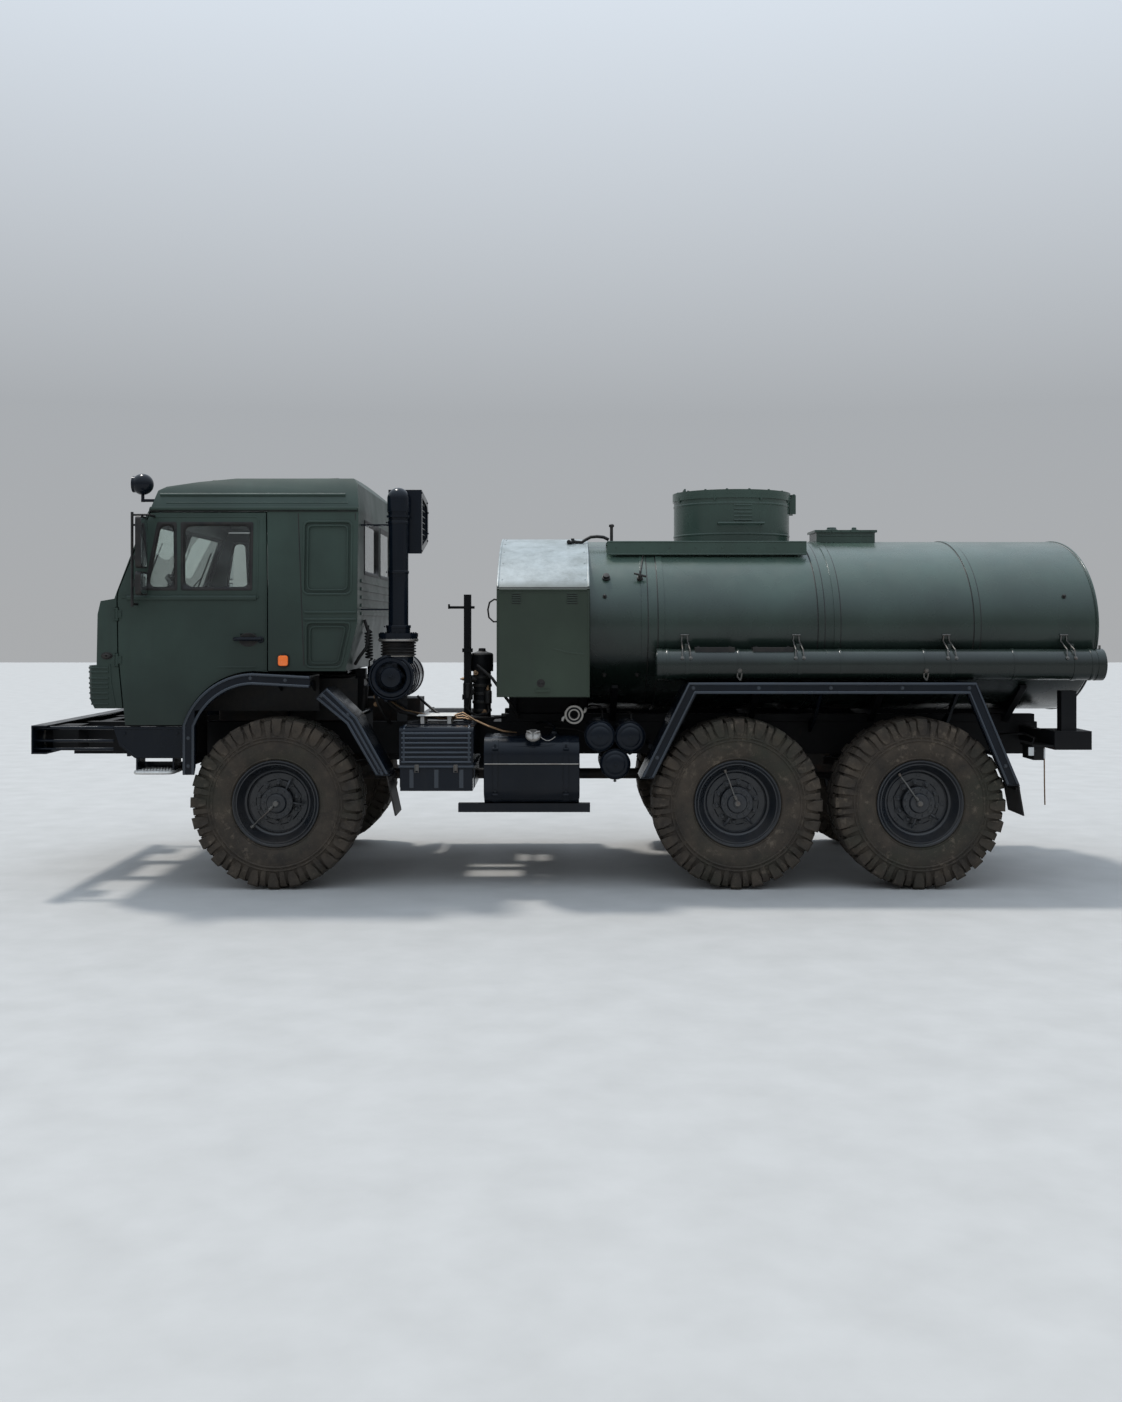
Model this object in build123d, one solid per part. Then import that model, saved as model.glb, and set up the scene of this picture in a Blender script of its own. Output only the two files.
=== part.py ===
from build123d import *
import os
from math import sqrt

# Three-axle, all-wheel-drive tanker truck with a tilting sleeper cab.
# Millimetres, +Z up, ground at Z 0. The truck faces -X, so its left side is -Y.
# The origin is on the ground under the middle of the truck.

os.makedirs("parts", exist_ok=True)

# Overall
front_x = -3874
overall_length = 7748
overall_width = 2500
rear_x = front_x + overall_length
half_width = overall_width / 2

# Running gear
axle_front_x = -2133
front_wheelbase = 3340
bogie_spacing = 1320
track = 2010
tyre_radius = 620
tyre_width = 400
tyre_sides = 24
lug_height = 42
rim_radius = 300
rim_wall = 15
hub_radius = 112
drum_radius = 205
kingpin_y = 850
steer_limit = 28
steering_arm = 200
tie_rod_drop = 140
axle_tube_radius = 65
diff_radius = 175
axle_middle_x = axle_front_x + front_wheelbase
axle_rear_x = axle_middle_x + bogie_spacing
bogie_x = (axle_middle_x + axle_rear_x) / 2
axle_z = tyre_radius
shaft_z = axle_z + 95
wheel_y = track / 2

# Ladder frame
frame_top = 1160
frame_depth = 250
frame_half = 395
frame_flange = 90
frame_web = 10
frame_bottom = frame_top - frame_depth
frame_end_x = rear_x - 234

# Front bumper
bumper_top = 1190
bumper_depth = 205
bumper_plate = 10
bumper_flange = 108
bumper_half = half_width - 5
lamp_y = 930
lamp_radius = 85
step_front_x = -3305

# Cab
cab_half = 1200
cab_roof_half = 1150
cab_front_x = -3434
cab_rear_x = -1539
cab_wall = 40
cab_sill_z = 1310
cab_rear_floor_z = 1580
cab_waist_z = 2150
gutter_z = 2757
roof_side_z = 2885
roof_z = 2990
roof_crown = 30
riser_x = -2780
door_gap = 9
door_top_z = 2726
door_bottom_z = 1190
door_rear_x = -2192
door_open = 70
hinge_x = -3273
tilt_x = -3400
tilt_z = 1215
glass_depth = 16
glass_thick = 8
window_top = 2645
window_bottom = 2172
corner_radius = 90
press_depth = 14

# Intake
cleaner_x = -1308
cleaner_z = 1530
cleaner_radius = 165
stack_x = -1266
stack_y = 1000
stack_radius = 73
stack_foot_z = 1826

# Mudguards
guard_half = half_width
guard_inner = 870
guard_lip = 38
guard_skin = 8
front_guard_top = 1567
rear_guard_top = 1500
steer_clearance = 12

# Side equipment
box_outer = 1200
box_inner = 720
fuel_front_x = -626
fuel_length = 687
fuel_bottom = 612
fuel_height = 488
fuel_corner = 130
receiver_radius = 109

# Tank and what it carries
tank_front_x = 142
tank_half_width = 1080
tank_half_height = 670
tank_z = 1910
tank_edge = 60
band_height = 6
band_width = 44
tank_rear_x = rear_x
tank_length = tank_rear_x - tank_front_x
# places along the tank as shares of its length
band_places = [tank_front_x + share * tank_length for share in (0.107, 0.14, 0.453, 0.484, 0.758)]
saddle_places = [tank_front_x + share * tank_length for share in (0.051, 0.338, 0.59, 0.87)]
hanger_places = [tank_front_x + share * tank_length for share in (0.187, 0.404, 0.698, 0.936)]
tank_seat = 0.3
cabinet_front_x = -536
cabinet_half = 1200
cabinet_bottom = 1390
cabinet_hinge_z = 2165
cabinet_top = 2600
cabinet_wall = 30
flap_thick = 25
cabinet_rear_x = tank_front_x - 4
neck_x = 1305
neck_radius = 462
neck_wall = 8
neck_rim = 10
lid_thick = 34
neck_rise = 385
lid_top = tank_z + tank_half_height + neck_rise
lid_hinge_x = neck_x + neck_radius + neck_rim + 20
lid_hinge_z = lid_top - 20
hose_tube_radius = 116
hose_tube_z = 1625
hose_tube_y = half_width - hose_tube_radius
hose_tube_front_x = 623
hose_tube_rear_x = rear_x - 20
deck_z = 2548
deck_half = 700


def block(x0, x1, y0, y1, z0, z1):
    """A box between two corners."""
    return Pos((x0 + x1) / 2, (y0 + y1) / 2, (z0 + z1) / 2) * Box(x1 - x0, y1 - y0, z1 - z0)


def rod_x(x0, x1, y, z, radius):
    """A round bar along X."""
    return Pos((x0 + x1) / 2, y, z) * Rot(0, 90, 0) * Cylinder(radius, x1 - x0)


def rod_y(x, y0, y1, z, radius):
    """A round bar along Y."""
    return Pos(x, (y0 + y1) / 2, z) * Rot(90, 0, 0) * Cylinder(radius, y1 - y0)


def rod_z(x, y, z0, z1, radius):
    """A round bar along Z."""
    return Pos(x, y, (z0 + z1) / 2) * Cylinder(radius, z1 - z0)


def side_plate(outline, y0, y1):
    """A side-view outline, points or a face, carried across from y0 to y1."""
    face = outline if isinstance(outline, (Face, Sketch)) else make_face(Polyline(*outline, close=True))
    return Pos(0, y1, 0) * extrude(Plane.XZ * face, amount=y1 - y0)


def end_plate(outline, x0, x1):
    """A front-view outline, points or a face, carried along from x0 to x1."""
    face = outline if isinstance(outline, (Face, Sketch)) else make_face(Polyline(*outline, close=True))
    return Pos(x0, 0, 0) * extrude(Plane.YZ * face, amount=x1 - x0)


def flip(piece):
    """The same piece on the other side of the truck."""
    return mirror(piece, about=Plane.XZ)


def both(piece):
    """A piece and its mirror image."""
    return [piece, flip(piece)]


def together(pieces):
    """Solids that share a node without touching."""
    return Compound([solid for piece in pieces for solid in piece.solids()])


def save(name, shape):
    """Write one node."""
    export_step(shape, "parts/" + name + ".step")


def tank_body(grow, x0, x1):
    """The oval of the tank, grown by a clearance, between two places."""
    return Pos(x0, 0, tank_z) * extrude(
        Plane.YZ * Ellipse(tank_half_width + grow, tank_half_height + grow), amount=x1 - x0)


def tank_clear(x0, x1):
    """The tank and its bands with their seating clearance, between two places."""
    body = tank_body(tank_seat, x0, x1)
    for x in band_places:
        if x0 < x < x1:
            half = band_width / 2 + tank_seat
            body += tank_body(band_height + tank_seat, x - half, x + half)
    return body


# Frame, bumpers and what hangs between the rails


def chassis_frame():
    """Two channel rails with the cab's pivot ears."""
    inner = frame_half - frame_web
    lip = frame_half - frame_flange
    channel = [
        (frame_half, frame_bottom), (frame_half, frame_top), (lip, frame_top),
        (lip, frame_top - frame_web), (inner, frame_top - frame_web),
        (inner, frame_bottom + frame_web), (lip, frame_bottom + frame_web), (lip, frame_bottom)]
    rail = end_plate(channel, front_x + bumper_plate, frame_end_x)
    ear_radius = 40
    for y in (frame_half - 65, frame_half - 15):
        rail += block(tilt_x - ear_radius, tilt_x + ear_radius, y - 8, y + 8, frame_top, tilt_z)
        rail += rod_y(tilt_x, y - 8, y + 8, tilt_z, ear_radius)
        rail -= rod_y(tilt_x, y - 20, y + 20, tilt_z, 12.3)
    return together(both(rail))


def cross_members():
    """Open channels between the rails, the end plate with its tow eye, and the rear buffers."""
    inner = frame_half - frame_web
    z0 = frame_bottom + frame_web
    z1 = frame_top - frame_web
    skin = 8
    # place along the truck, length
    members = [
        (front_x + 180, 90), (-1110, 90), (-560, 90), (330, 90),
        (bogie_x, 220), (frame_end_x - 60, 120)]
    pieces = []
    for x, length in members:
        outer = block(x - length / 2, x + length / 2, -inner, inner, z0, z1)
        core = block(x - length / 2 + skin, x + length, -inner, inner, z0 + skin, z1 - skin)
        pieces.append(outer - core - rod_x(-1170, -480, 0, 930, 60))
    eye_x = frame_end_x + 110
    end = pieces.pop() + block(frame_end_x - frame_web, frame_end_x, -inner, inner, z0, z1)
    end += block(frame_end_x - 4, eye_x, -35, 35, 1010, 1060)
    end += rod_z(eye_x, 0, 1010, 1060, 60)
    end -= rod_z(eye_x, 0, 1000, 1070, 24)
    pieces.append(end)
    buffer_top = 1146
    buffer = block(frame_end_x - 150, rear_x - 114, 900, 1200, buffer_top - 135, buffer_top)
    buffer += block(frame_end_x - 140, frame_end_x - 80, frame_half, 900, buffer_top - 125, buffer_top - 15)
    buffer += block(frame_end_x - 90, frame_end_x + 20, 1080, 1170, buffer_top, buffer_top + 290)
    bridge = block(-1665, -1605, -frame_half, frame_half, 1440, 1500)
    bridge += block(-1665, -1605, frame_half - 60, frame_half, frame_top, 1450)
    bridge += block(-1665, -1605, -frame_half, 60 - frame_half, frame_top, 1450)
    for y in (-frame_half + 20, frame_half - 100):
        bridge += block(-1675, -1595, y, y + 80, 1490, cab_rear_floor_z - 6)
    return together(pieces + both(buffer) + [bridge])


def front_bumper():
    """A channel beam ahead of the cab, on the ends of the rails, with its stays."""
    bottom = bumper_top - bumper_depth
    outline = [
        (front_x, bottom), (front_x, bumper_top), (front_x + bumper_flange, bumper_top),
        (front_x + bumper_flange, bumper_top - bumper_plate),
        (front_x + bumper_plate, bumper_top - bumper_plate),
        (front_x + bumper_plate, bottom + bumper_plate), (front_x + bumper_flange, bottom + bumper_plate),
        (front_x + bumper_flange, bottom)]
    beam = side_plate(outline, -bumper_half, bumper_half)
    lamp_z = bumper_top - bumper_depth / 2
    for side in (-1, 1):
        beam -= rod_x(front_x - 5, front_x + 30, side * lamp_y, lamp_z, lamp_radius + 1)
        for drop, radius in ((22, 13), (115, 10), (175, 10)):
            beam += rod_x(front_x + 5, step_front_x, side * (box_outer - 30), bumper_top - drop, radius)
        y = side * 355
        notch = block(front_x + 5, front_x + 130, y - 50, y + 50, frame_bottom - 2, frame_top + 1)
        beam -= notch - block(front_x, front_x + bumper_plate, y - 60, y + 60, bottom, bumper_top)
    for y in (-60, 60):
        ear = block(front_x + bumper_plate, front_x + 90, y - 12, y + 12, bottom + 60, bottom + 145)
        beam += ear - rod_y(front_x + 60, y - 20, y + 20, bottom + 102, 20)
    return beam


def headlamps():
    """Round lamps behind the bumper, with their housings."""
    z = bumper_top - bumper_depth / 2
    back = front_x + bumper_plate
    lamp = rod_x(front_x + 3, back + 70, lamp_y, z, lamp_radius)
    lamp += rod_x(back, back + 14, lamp_y, z, lamp_radius + 7)
    lamp += block(back + 70, back + 260, lamp_y - 110, lamp_y + 110, z - 85, z + 88)
    return together(both(lamp))


def engine():
    """The engine as one plain block between and above the rails."""
    low = block(-2740, -1740, -295, 295, 860, frame_top)
    high = block(-2740, -1740, -frame_half + 2, frame_half - 2, frame_top, 1500)
    return low + high


def driveline():
    """Gearbox, transfer case and propeller shafts on one line."""
    case = block(-1740, -1180, -220, 220, 850, 1140)
    case += block(-1640, -1190, -170, 170, 1130, 1330)
    case += block(-470, -60, -230, 230, 560, 1010)
    case += rod_x(-1180, -470, 0, 930, 45)
    nose = 210
    shafts = [
        (axle_front_x + nose, -470), (-60, axle_middle_x - nose), (axle_middle_x + nose, axle_rear_x - nose)]
    line = case
    for x0, x1 in shafts:
        shaft = rod_x(x0, x1, 0, shaft_z, 42)
        shaft += rod_x(x0, x0 + 25, 0, shaft_z, 75)
        shaft += rod_x(x1 - 25, x1, 0, shaft_z, 75)
        line += shaft
    bracket = block(-300, -220, -frame_half + frame_web, frame_half - frame_web, 1010, 1060)
    return line + bracket


def axle_housing(x, reach, noses):
    """Axle tube with its differential and the flanges for the shafts."""
    housing = rod_y(x, -reach, reach, axle_z, axle_tube_radius)
    for half, radius in ((75, diff_radius), (150, diff_radius - 35), (225, 100)):
        housing += rod_y(x, -half, half, axle_z, radius)
    for side in noses:
        x0, x1 = sorted((x + side * 100, x + side * 210))
        housing += rod_x(x0, x1, 0, shaft_z, 78)
    return housing


def axle_front():
    """The steered axle: its ends are bored bosses for the kingpins."""
    boss_radius = 45
    boss_half = 79.7
    axle = axle_housing(axle_front_x, kingpin_y - 10, (1,))
    for side in (-1, 1):
        y = side * kingpin_y
        axle += rod_z(axle_front_x, y, axle_z - boss_half, axle_z + boss_half, boss_radius)
        axle -= rod_z(axle_front_x, y, axle_z - 90, axle_z + 90, 20.3)
        seat_y = side * (frame_half - frame_flange / 2)
        axle += block(axle_front_x - 80, axle_front_x + 80, seat_y - 45, seat_y + 45, axle_z, axle_z + 75)
    return axle


def axles_rear():
    """The two bogie axles with the flanges that carry the drums."""
    axles = []
    for x, noses in ((axle_middle_x, (-1, 1)), (axle_rear_x, (-1,))):
        axle = axle_housing(x, 915, noses)
        for side in (-1, 1):
            y0, y1 = sorted((side * 905, side * 920))
            axle += rod_y(x, y0, y1, axle_z, 150)
            y0, y1 = sorted((side * 915, side * 975))
            axle += rod_y(x, y0, y1, axle_z, 45)
            seat_y = side * (frame_half - frame_flange / 2)
            axle += block(x - 80, x + 80, seat_y - 45, seat_y + 45, axle_z, axle_z + 75)
        axles.append(axle)
    return together(axles)


def arc_band(x, half_span, z_mid, z_end, thick):
    """Side view of a bent leaf pack."""
    top = ThreePointArc((x - half_span, z_end + thick), (x, z_mid + thick), (x + half_span, z_end + thick))
    low = ThreePointArc((x - half_span, z_end), (x, z_mid), (x + half_span, z_end))
    ends = [Line(top @ 0, low @ 0), Line(top @ 1, low @ 1)]
    return make_face([top, low] + ends)


def springs():
    """Leaf packs over the front axle and, upside down, over the bogie."""
    y0 = frame_half - frame_flange
    pad_top = axle_z + 75
    pieces = []
    front = side_plate(arc_band(axle_front_x, 700, pad_top, pad_top + 110, 60), y0, frame_half)
    for side in (-1, 1):
        x = axle_front_x + side * 670
        front += block(x - 45, x + 45, y0, frame_half, pad_top + 100, frame_bottom)
    pieces.append(front)
    half = bogie_spacing / 2 + 60
    rear = side_plate(arc_band(bogie_x, half, pad_top + 75, pad_top - 12, 60), y0, frame_half)
    rear += block(bogie_x - 110, bogie_x + 110, y0, frame_half, pad_top + 90, frame_bottom)
    for x in (axle_middle_x, axle_rear_x):
        cut = block(x - 150, x + 150, y0 - 5, frame_half + 5, pad_top - 60, pad_top)
        rear -= cut
    pieces.append(rear)
    return together([each for piece in pieces for each in both(piece)])


# Steering and wheels


def knuckle():
    """Right-hand steering knuckle: yoke, kingpin, spindle and steering arm."""
    arm_z0 = 80
    arm_z1 = 115
    piece = rod_y(axle_front_x, 905, 920, axle_z, 150)
    piece += rod_y(axle_front_x, 915, 975, axle_z, 45)
    for side in (-1, 1):
        z0, z1 = sorted((axle_z + side * arm_z0, axle_z + side * arm_z1))
        piece += block(axle_front_x - 45, axle_front_x + 45, kingpin_y - 5, 910, z0, z1)
        piece += rod_z(axle_front_x, kingpin_y, z0, z1, 45)
    piece += rod_z(axle_front_x, kingpin_y, axle_z - arm_z1, axle_z + arm_z1, 20)
    tip_x = axle_front_x + steering_arm
    piece += block(axle_front_x, tip_x, kingpin_y - 20, kingpin_y + 20, axle_z - arm_z1, axle_z - arm_z1 + 24)
    piece += rod_z(tip_x, kingpin_y, axle_z - arm_z1, axle_z - arm_z1 + 24, 24)
    return piece - rod_z(tip_x, kingpin_y, axle_z - arm_z1 - 5, axle_z - arm_z1 + 35, 10.3)


def tie_rod():
    """The rod behind the axle that joins the two steering arms."""
    x = axle_front_x + steering_arm
    z = axle_z - tie_rod_drop
    top = axle_z - 115.3
    rod = rod_y(x, -kingpin_y, kingpin_y, z, 15)
    for side in (-1, 1):
        rod += rod_z(x, side * kingpin_y, z - 16, top, 22)
        rod += rod_z(x, side * kingpin_y, top - 5, axle_z - 92, 10)
    return rod


def wheel_disc(x):
    """Right-hand rim with its disc, hub and brake drum."""
    inner = wheel_y - tyre_width / 2 + 30
    outer = wheel_y + tyre_width / 2 - 24
    face = wheel_y + 62
    drum_face = 920.3
    polygon = RegularPolygon(rim_radius, tyre_sides, major_radius=False)
    facet = Rot(90, 0, 0) * extrude(polygon, amount=outer - inner)
    rim = Pos(x, outer, axle_z) * facet
    rim -= rod_y(x, face, outer + 5, axle_z, rim_radius - rim_wall)
    rim -= rod_y(x, inner - 5, face - 14, axle_z, rim_radius - rim_wall)
    rim += rod_y(x, drum_face, face - 5, axle_z, drum_radius)
    rim -= rod_y(x, drum_face - 5, 976, axle_z, 45.5)
    rim += rod_y(x, face - 2, face + 70, axle_z, hub_radius)
    rim += rod_y(x, face + 60, face + 96, axle_z, 62)
    return rim


def lug_outline():
    """One chevron lug as seen from outside the tread."""
    half = tyre_width / 2 - 8
    sweep = 40
    width = 44
    return [
        (-half, -width / 2 - sweep / 2), (0, -width / 2 + sweep / 2), (half, -width / 2 - sweep / 2),
        (half, width / 2 - sweep / 2), (0, width / 2 + sweep / 2), (-half, width / 2 - sweep / 2)]


def tyre(x):
    """Right-hand tyre: a faceted carcass with one chevron lug on each facet."""
    carcass_radius = tyre_radius - lug_height
    half = tyre_width / 2
    ring = extrude(RegularPolygon(carcass_radius, tyre_sides, major_radius=False), amount=half, both=True)
    outer_edges = [edge for edge in ring.edges() if abs(abs(edge.center().Z) - half) < 1]
    ring = chamfer(outer_edges, 55, 70)
    lug = Plane.ZX * extrude(make_face(Polyline(*lug_outline(), close=True)), amount=lug_height + 4)
    for index in range(tyre_sides):
        turn = 360 / tyre_sides * index
        ring += Rot(0, 0, turn) * Pos(0, carcass_radius - 4, 0) * lug
    bore = RegularPolygon(rim_radius + tank_seat, tyre_sides, major_radius=False)
    ring -= extrude(bore, amount=half + 5, both=True)
    return Pos(x, wheel_y, axle_z) * Rot(90, 0, 0) * ring


def wheels():
    """Six rims and six tyres, named by axle and side."""
    for axle, x in (("front", axle_front_x), ("middle", axle_middle_x), ("rear", axle_rear_x)):
        rim = wheel_disc(x)
        rubber = tyre(x)
        save("rim_" + axle + "_right", rim)
        save("rim_" + axle + "_left", flip(rim))
        save("tyre_" + axle + "_right", rubber)
        save("tyre_" + axle + "_left", flip(rubber))


# Cab


def cab_side_face():
    """The cab in side view, windscreen to the left."""
    lower = Polyline(
        (riser_x, cab_rear_floor_z), (riser_x, cab_sill_z), (cab_front_x, cab_sill_z),
        (cab_front_x - 35, 1377), (cab_front_x - 56, 1620), (cab_front_x + 14, 1622),
        (cab_front_x + 21, 1989), (cab_front_x + 43, 2085), (cab_front_x + 142, 2102),
        (cab_front_x + 350, 2688), (cab_front_x + 384, gutter_z), (cab_front_x + 425, roof_z - 95))
    rear = Polyline(
        lower @ 1, (cab_front_x + 480, roof_z - 65), (cab_front_x + 706, roof_z - 28),
        (cab_front_x + 1074, roof_z + 10), (cab_front_x + 1300, roof_z + roof_crown),
        (cab_rear_x - 81, roof_z + roof_crown), (cab_rear_x - 21, 2950), (cab_rear_x, gutter_z),
        (cab_rear_x, 1928), (cab_rear_x - 87, cab_rear_floor_z), lower @ 0)
    return make_face([lower, rear])


def cab_end_face():
    """The cab in front view."""
    sides = Polyline(
        (-cab_roof_half + 65, roof_side_z), (-cab_roof_half + 20, gutter_z + 12),
        (-cab_roof_half - 12, gutter_z + 6),
        (-cab_roof_half - 12, gutter_z - 6), (-cab_roof_half, gutter_z - 12), (-cab_half, cab_waist_z),
        (-cab_half, 1100), (cab_half, 1100), (cab_half, cab_waist_z), (cab_roof_half, gutter_z - 12),
        (cab_roof_half + 12, gutter_z - 6), (cab_roof_half + 12, gutter_z + 6),
        (cab_roof_half - 20, gutter_z + 12),
        (cab_roof_half - 65, roof_side_z), (cab_roof_half - 150, roof_z))
    crown = Polyline(
        sides @ 1, (500, roof_z + roof_crown - 7), (0, roof_z + roof_crown + 2),
        (-500, roof_z + roof_crown - 7),
        (-cab_roof_half + 150, roof_z), sides @ 0)
    return make_face([sides, crown])


def cab_plan_face():
    """The cab from above, with rounded front corners."""
    front = cab_front_x - 56
    outline = Polyline(
        (cab_rear_x, -cab_half - 20), (cab_rear_x, cab_half + 20),
        (front, cab_half + 20), (front, -cab_half - 20),
        close=True)
    face = make_face(outline)
    corners = [vertex for vertex in face.vertices() if vertex.X < front + 1]
    return fillet(corners, corner_radius)


def cab_block(inset):
    """The cab's whole form, drawn in by an inset."""
    views = [cab_side_face(), cab_end_face(), cab_plan_face()]
    if inset:
        views = [offset(view, amount=-inset, kind=Kind.ARC) for view in views]
    side = side_plate(views[0], -1400, 1400)
    end = end_plate(views[1], -3700, -1400)
    plan = Pos(0, 0, 1000) * extrude(views[2], amount=2200)
    return side & end & plan


def side_skin(outer, inner):
    """The layer of the cab's side wall between two insets."""
    faces = [cab_end_face(), cab_end_face()]
    insets = (outer, inner)
    layers = [
        end_plate(offset(face, amount=-inset, kind=Kind.INTERSECTION) if inset else face, -3600, -1500)
        for face, inset in zip(faces, insets)]
    return layers[0] - layers[1]


def guard_outline():
    """Outer line of the front mudguard's arch, in side view."""
    leg = Line((axle_front_x - 653, 836), (axle_front_x - 653, 1190))
    arch = ThreePointArc(leg @ 1, (axle_front_x - 481, 1446), (axle_front_x - 153, front_guard_top))
    top = Line(arch @ 1, (axle_front_x + 259, front_guard_top - 22))
    return leg, arch, top


def guard_face():
    """The area under the front mudguard's outer line."""
    leg, arch, top = guard_outline()
    foot = Polyline(top @ 1, (axle_front_x + 259, 836), leg @ 0)
    return make_face([leg, arch, top, foot])


# height of each door hinge's middle
hinge_heights = (1660, 1990)
hinge_half = 32
hinge_pin = 6
hinge_play = 0.3


def hinge_barrel(z):
    """The door's half of a hinge, on the right."""
    barrel = rod_z(hinge_x, cab_half, z - hinge_half, z + hinge_half, 12)
    barrel += block(hinge_x, hinge_x + 34, cab_half - 3, cab_half + 6, z - hinge_half + 4, z + hinge_half - 4)
    return barrel - rod_z(hinge_x, cab_half, z - 50, z + 50, hinge_pin + hinge_play)


def hinge_eyes(z):
    """The cab's half of a hinge, on the right: a pin held above and below the barrel."""
    top = hinge_half + 0.5
    eyes = rod_z(hinge_x, cab_half, z - top - 14, z + top + 14, hinge_pin)
    for z0 in (z - top - 14, z + top):
        eyes += rod_z(hinge_x, cab_half, z0, z0 + 14, 12)
        eyes += block(hinge_x - 30, hinge_x, cab_half - 3, cab_half + 6, z0 + 2, z0 + 12)
    return eyes


def hinge_room(z):
    """Space cut from the panels around a hinge."""
    return rod_z(hinge_x, cab_half, z - hinge_half - 18, z + hinge_half + 18, 15)


# door outline in side view, clockwise from the foot of its front edge
door_points = [
    (-3214, door_bottom_z), (-3262, 1700), (-3268, 2100), (-3261, 2162), (-3045, door_top_z),
    (door_rear_x - 17, door_top_z), (door_rear_x, cab_waist_z), (door_rear_x, cab_rear_floor_z),
    (door_rear_x, door_bottom_z)]
quarter_window = [(-3066, window_bottom), (-2984, window_top), (-2865, window_top), (-2850, window_bottom)]
main_window = [(-2800, window_bottom), (-2812, window_top), (-2310, window_top), (-2310, window_bottom)]


def door_face():
    """The door with the arch cut for the mudguard."""
    door = make_face(Polyline(*door_points, close=True))
    arch = offset(guard_face(), amount=door_gap + 4, kind=Kind.INTERSECTION)
    low = make_face(Polyline(
        (riser_x - 20, 700), (riser_x - 20, 1200), (-1500, 1200), (-1500, 700), close=True))
    return door - arch - low


def door():
    """Right-hand door, with its window openings, sill ridge and handle."""
    skin = side_skin(0, cab_wall)
    panel = side_plate(door_face(), 900, 1300) & skin
    for window in (quarter_window, main_window):
        panel -= side_plate(window, 900, 1300)
    panel += block(-3240, door_rear_x - 60, cab_half - 2, cab_half + 6, 2106, 2122)
    grip = (-2403, -2223)
    recess_z = 1812
    panel -= block(grip[0] + 20, grip[1] - 50, cab_half - 18, cab_half + 5, recess_z - 38, recess_z + 38)
    panel += block(grip[0], grip[1], cab_half - 2, cab_half + 16, recess_z - 9, recess_z + 9)
    for z in hinge_heights:
        panel -= hinge_room(z)
        panel += hinge_barrel(z)
    return panel


def door_glass():
    """The two panes of the right-hand door."""
    layer = side_skin(glass_depth, glass_depth + glass_thick)
    return together([side_plate(window, 900, 1300) & layer for window in (quarter_window, main_window)])


def mirror_arms():
    """Right-hand mirrors on their rod, fixed to the door."""
    x = -3128
    y = cab_half + 115
    upper_x = -3015
    foot_z = 2062
    head_z = 2698
    skin = end_plate(cab_end_face(), x - 100, upper_x + 100)
    rod = rod_z(x, y, foot_z - 20, head_z + 20, 10)
    rod += rod_x(x, upper_x + 9, y, head_z, 8)
    rod += rod_y(upper_x, cab_roof_half - 20, y, head_z, 9) - skin
    rod += rod_y(x, cab_half - 20, y, foot_z, 9) - skin
    for z0, z1 in ((2318, 2688), (2125, 2292)):
        head = block(x + 45, x + 83, y - 90, y + 80, z0, z1)
        rod += fillet(head.edges().filter_by(Axis.X), 30)
        rod += block(x + 2, x + 55, y - 7, y + 7, z0 + 60, z0 + 90)
        rod += block(x + 2, x + 55, y - 7, y + 7, z1 - 70, z1 - 55)
    return rod


def cab_pieces():
    """Split the cab's shell where the real panels meet."""
    shell = cab_block(0) - cab_block(cab_wall)
    floor_outline = [
        (riser_x, cab_rear_floor_z), (riser_x, cab_sill_z), (cab_front_x + cab_wall, cab_sill_z),
        (cab_front_x + cab_wall, cab_sill_z + cab_wall), (riser_x - cab_wall, cab_sill_z + cab_wall),
        (riser_x - cab_wall, cab_rear_floor_z + cab_wall), (cab_rear_x - 87, cab_rear_floor_z + cab_wall),
        (cab_rear_x - 87, cab_rear_floor_z)]
    floor_cut = side_plate(floor_outline, -cab_half + cab_wall, cab_half - cab_wall)
    head_z = door_top_z + door_gap
    front_edge = [(x - door_gap, z) for x, z in door_points[:5]]
    front_region = [(-3700, 1000), (front_edge[0][0], 1000)] + front_edge + [
        (front_edge[-1][0], head_z), (-3700, head_z)]
    return_edge = cab_rear_x - cab_wall - 4
    rear_region = [
        (cab_rear_x + 5, head_z), (return_edge, head_z), (return_edge, 1928),
        (return_edge - 87, cab_rear_floor_z), (cab_rear_x + 5, cab_rear_floor_z)]
    side_region = [
        (door_rear_x + door_gap, cab_rear_floor_z), (door_rear_x + door_gap, cab_waist_z),
        (door_rear_x - 17 + door_gap, head_z), (cab_rear_x + 5, head_z), (cab_rear_x + 5, cab_rear_floor_z)]
    between = end_plate(offset(cab_end_face(), amount=-cab_wall - 6, kind=Kind.ARC), -3700, -1400)
    wide_region = front_region[:2] + [(x + 130, z) for x, z in front_edge] + front_region[-2:]
    wide_region[1] = (front_edge[0][0] + 130, 1000)
    front_zone = side_plate(front_region, -1300, 1300) + (side_plate(wide_region, -1300, 1300) & between)
    front = (shell & front_zone) - floor_cut
    rear = (shell & side_plate(rear_region, -1300, 1300)) - floor_cut
    sides = (shell & side_plate(side_region, -1300, 1300)) - side_plate(rear_region, -1300, 1300) - floor_cut
    roof = shell & block(-3700, -1400, -1300, 1300, head_z, 3200)
    return front, rear, sides, roof


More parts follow.
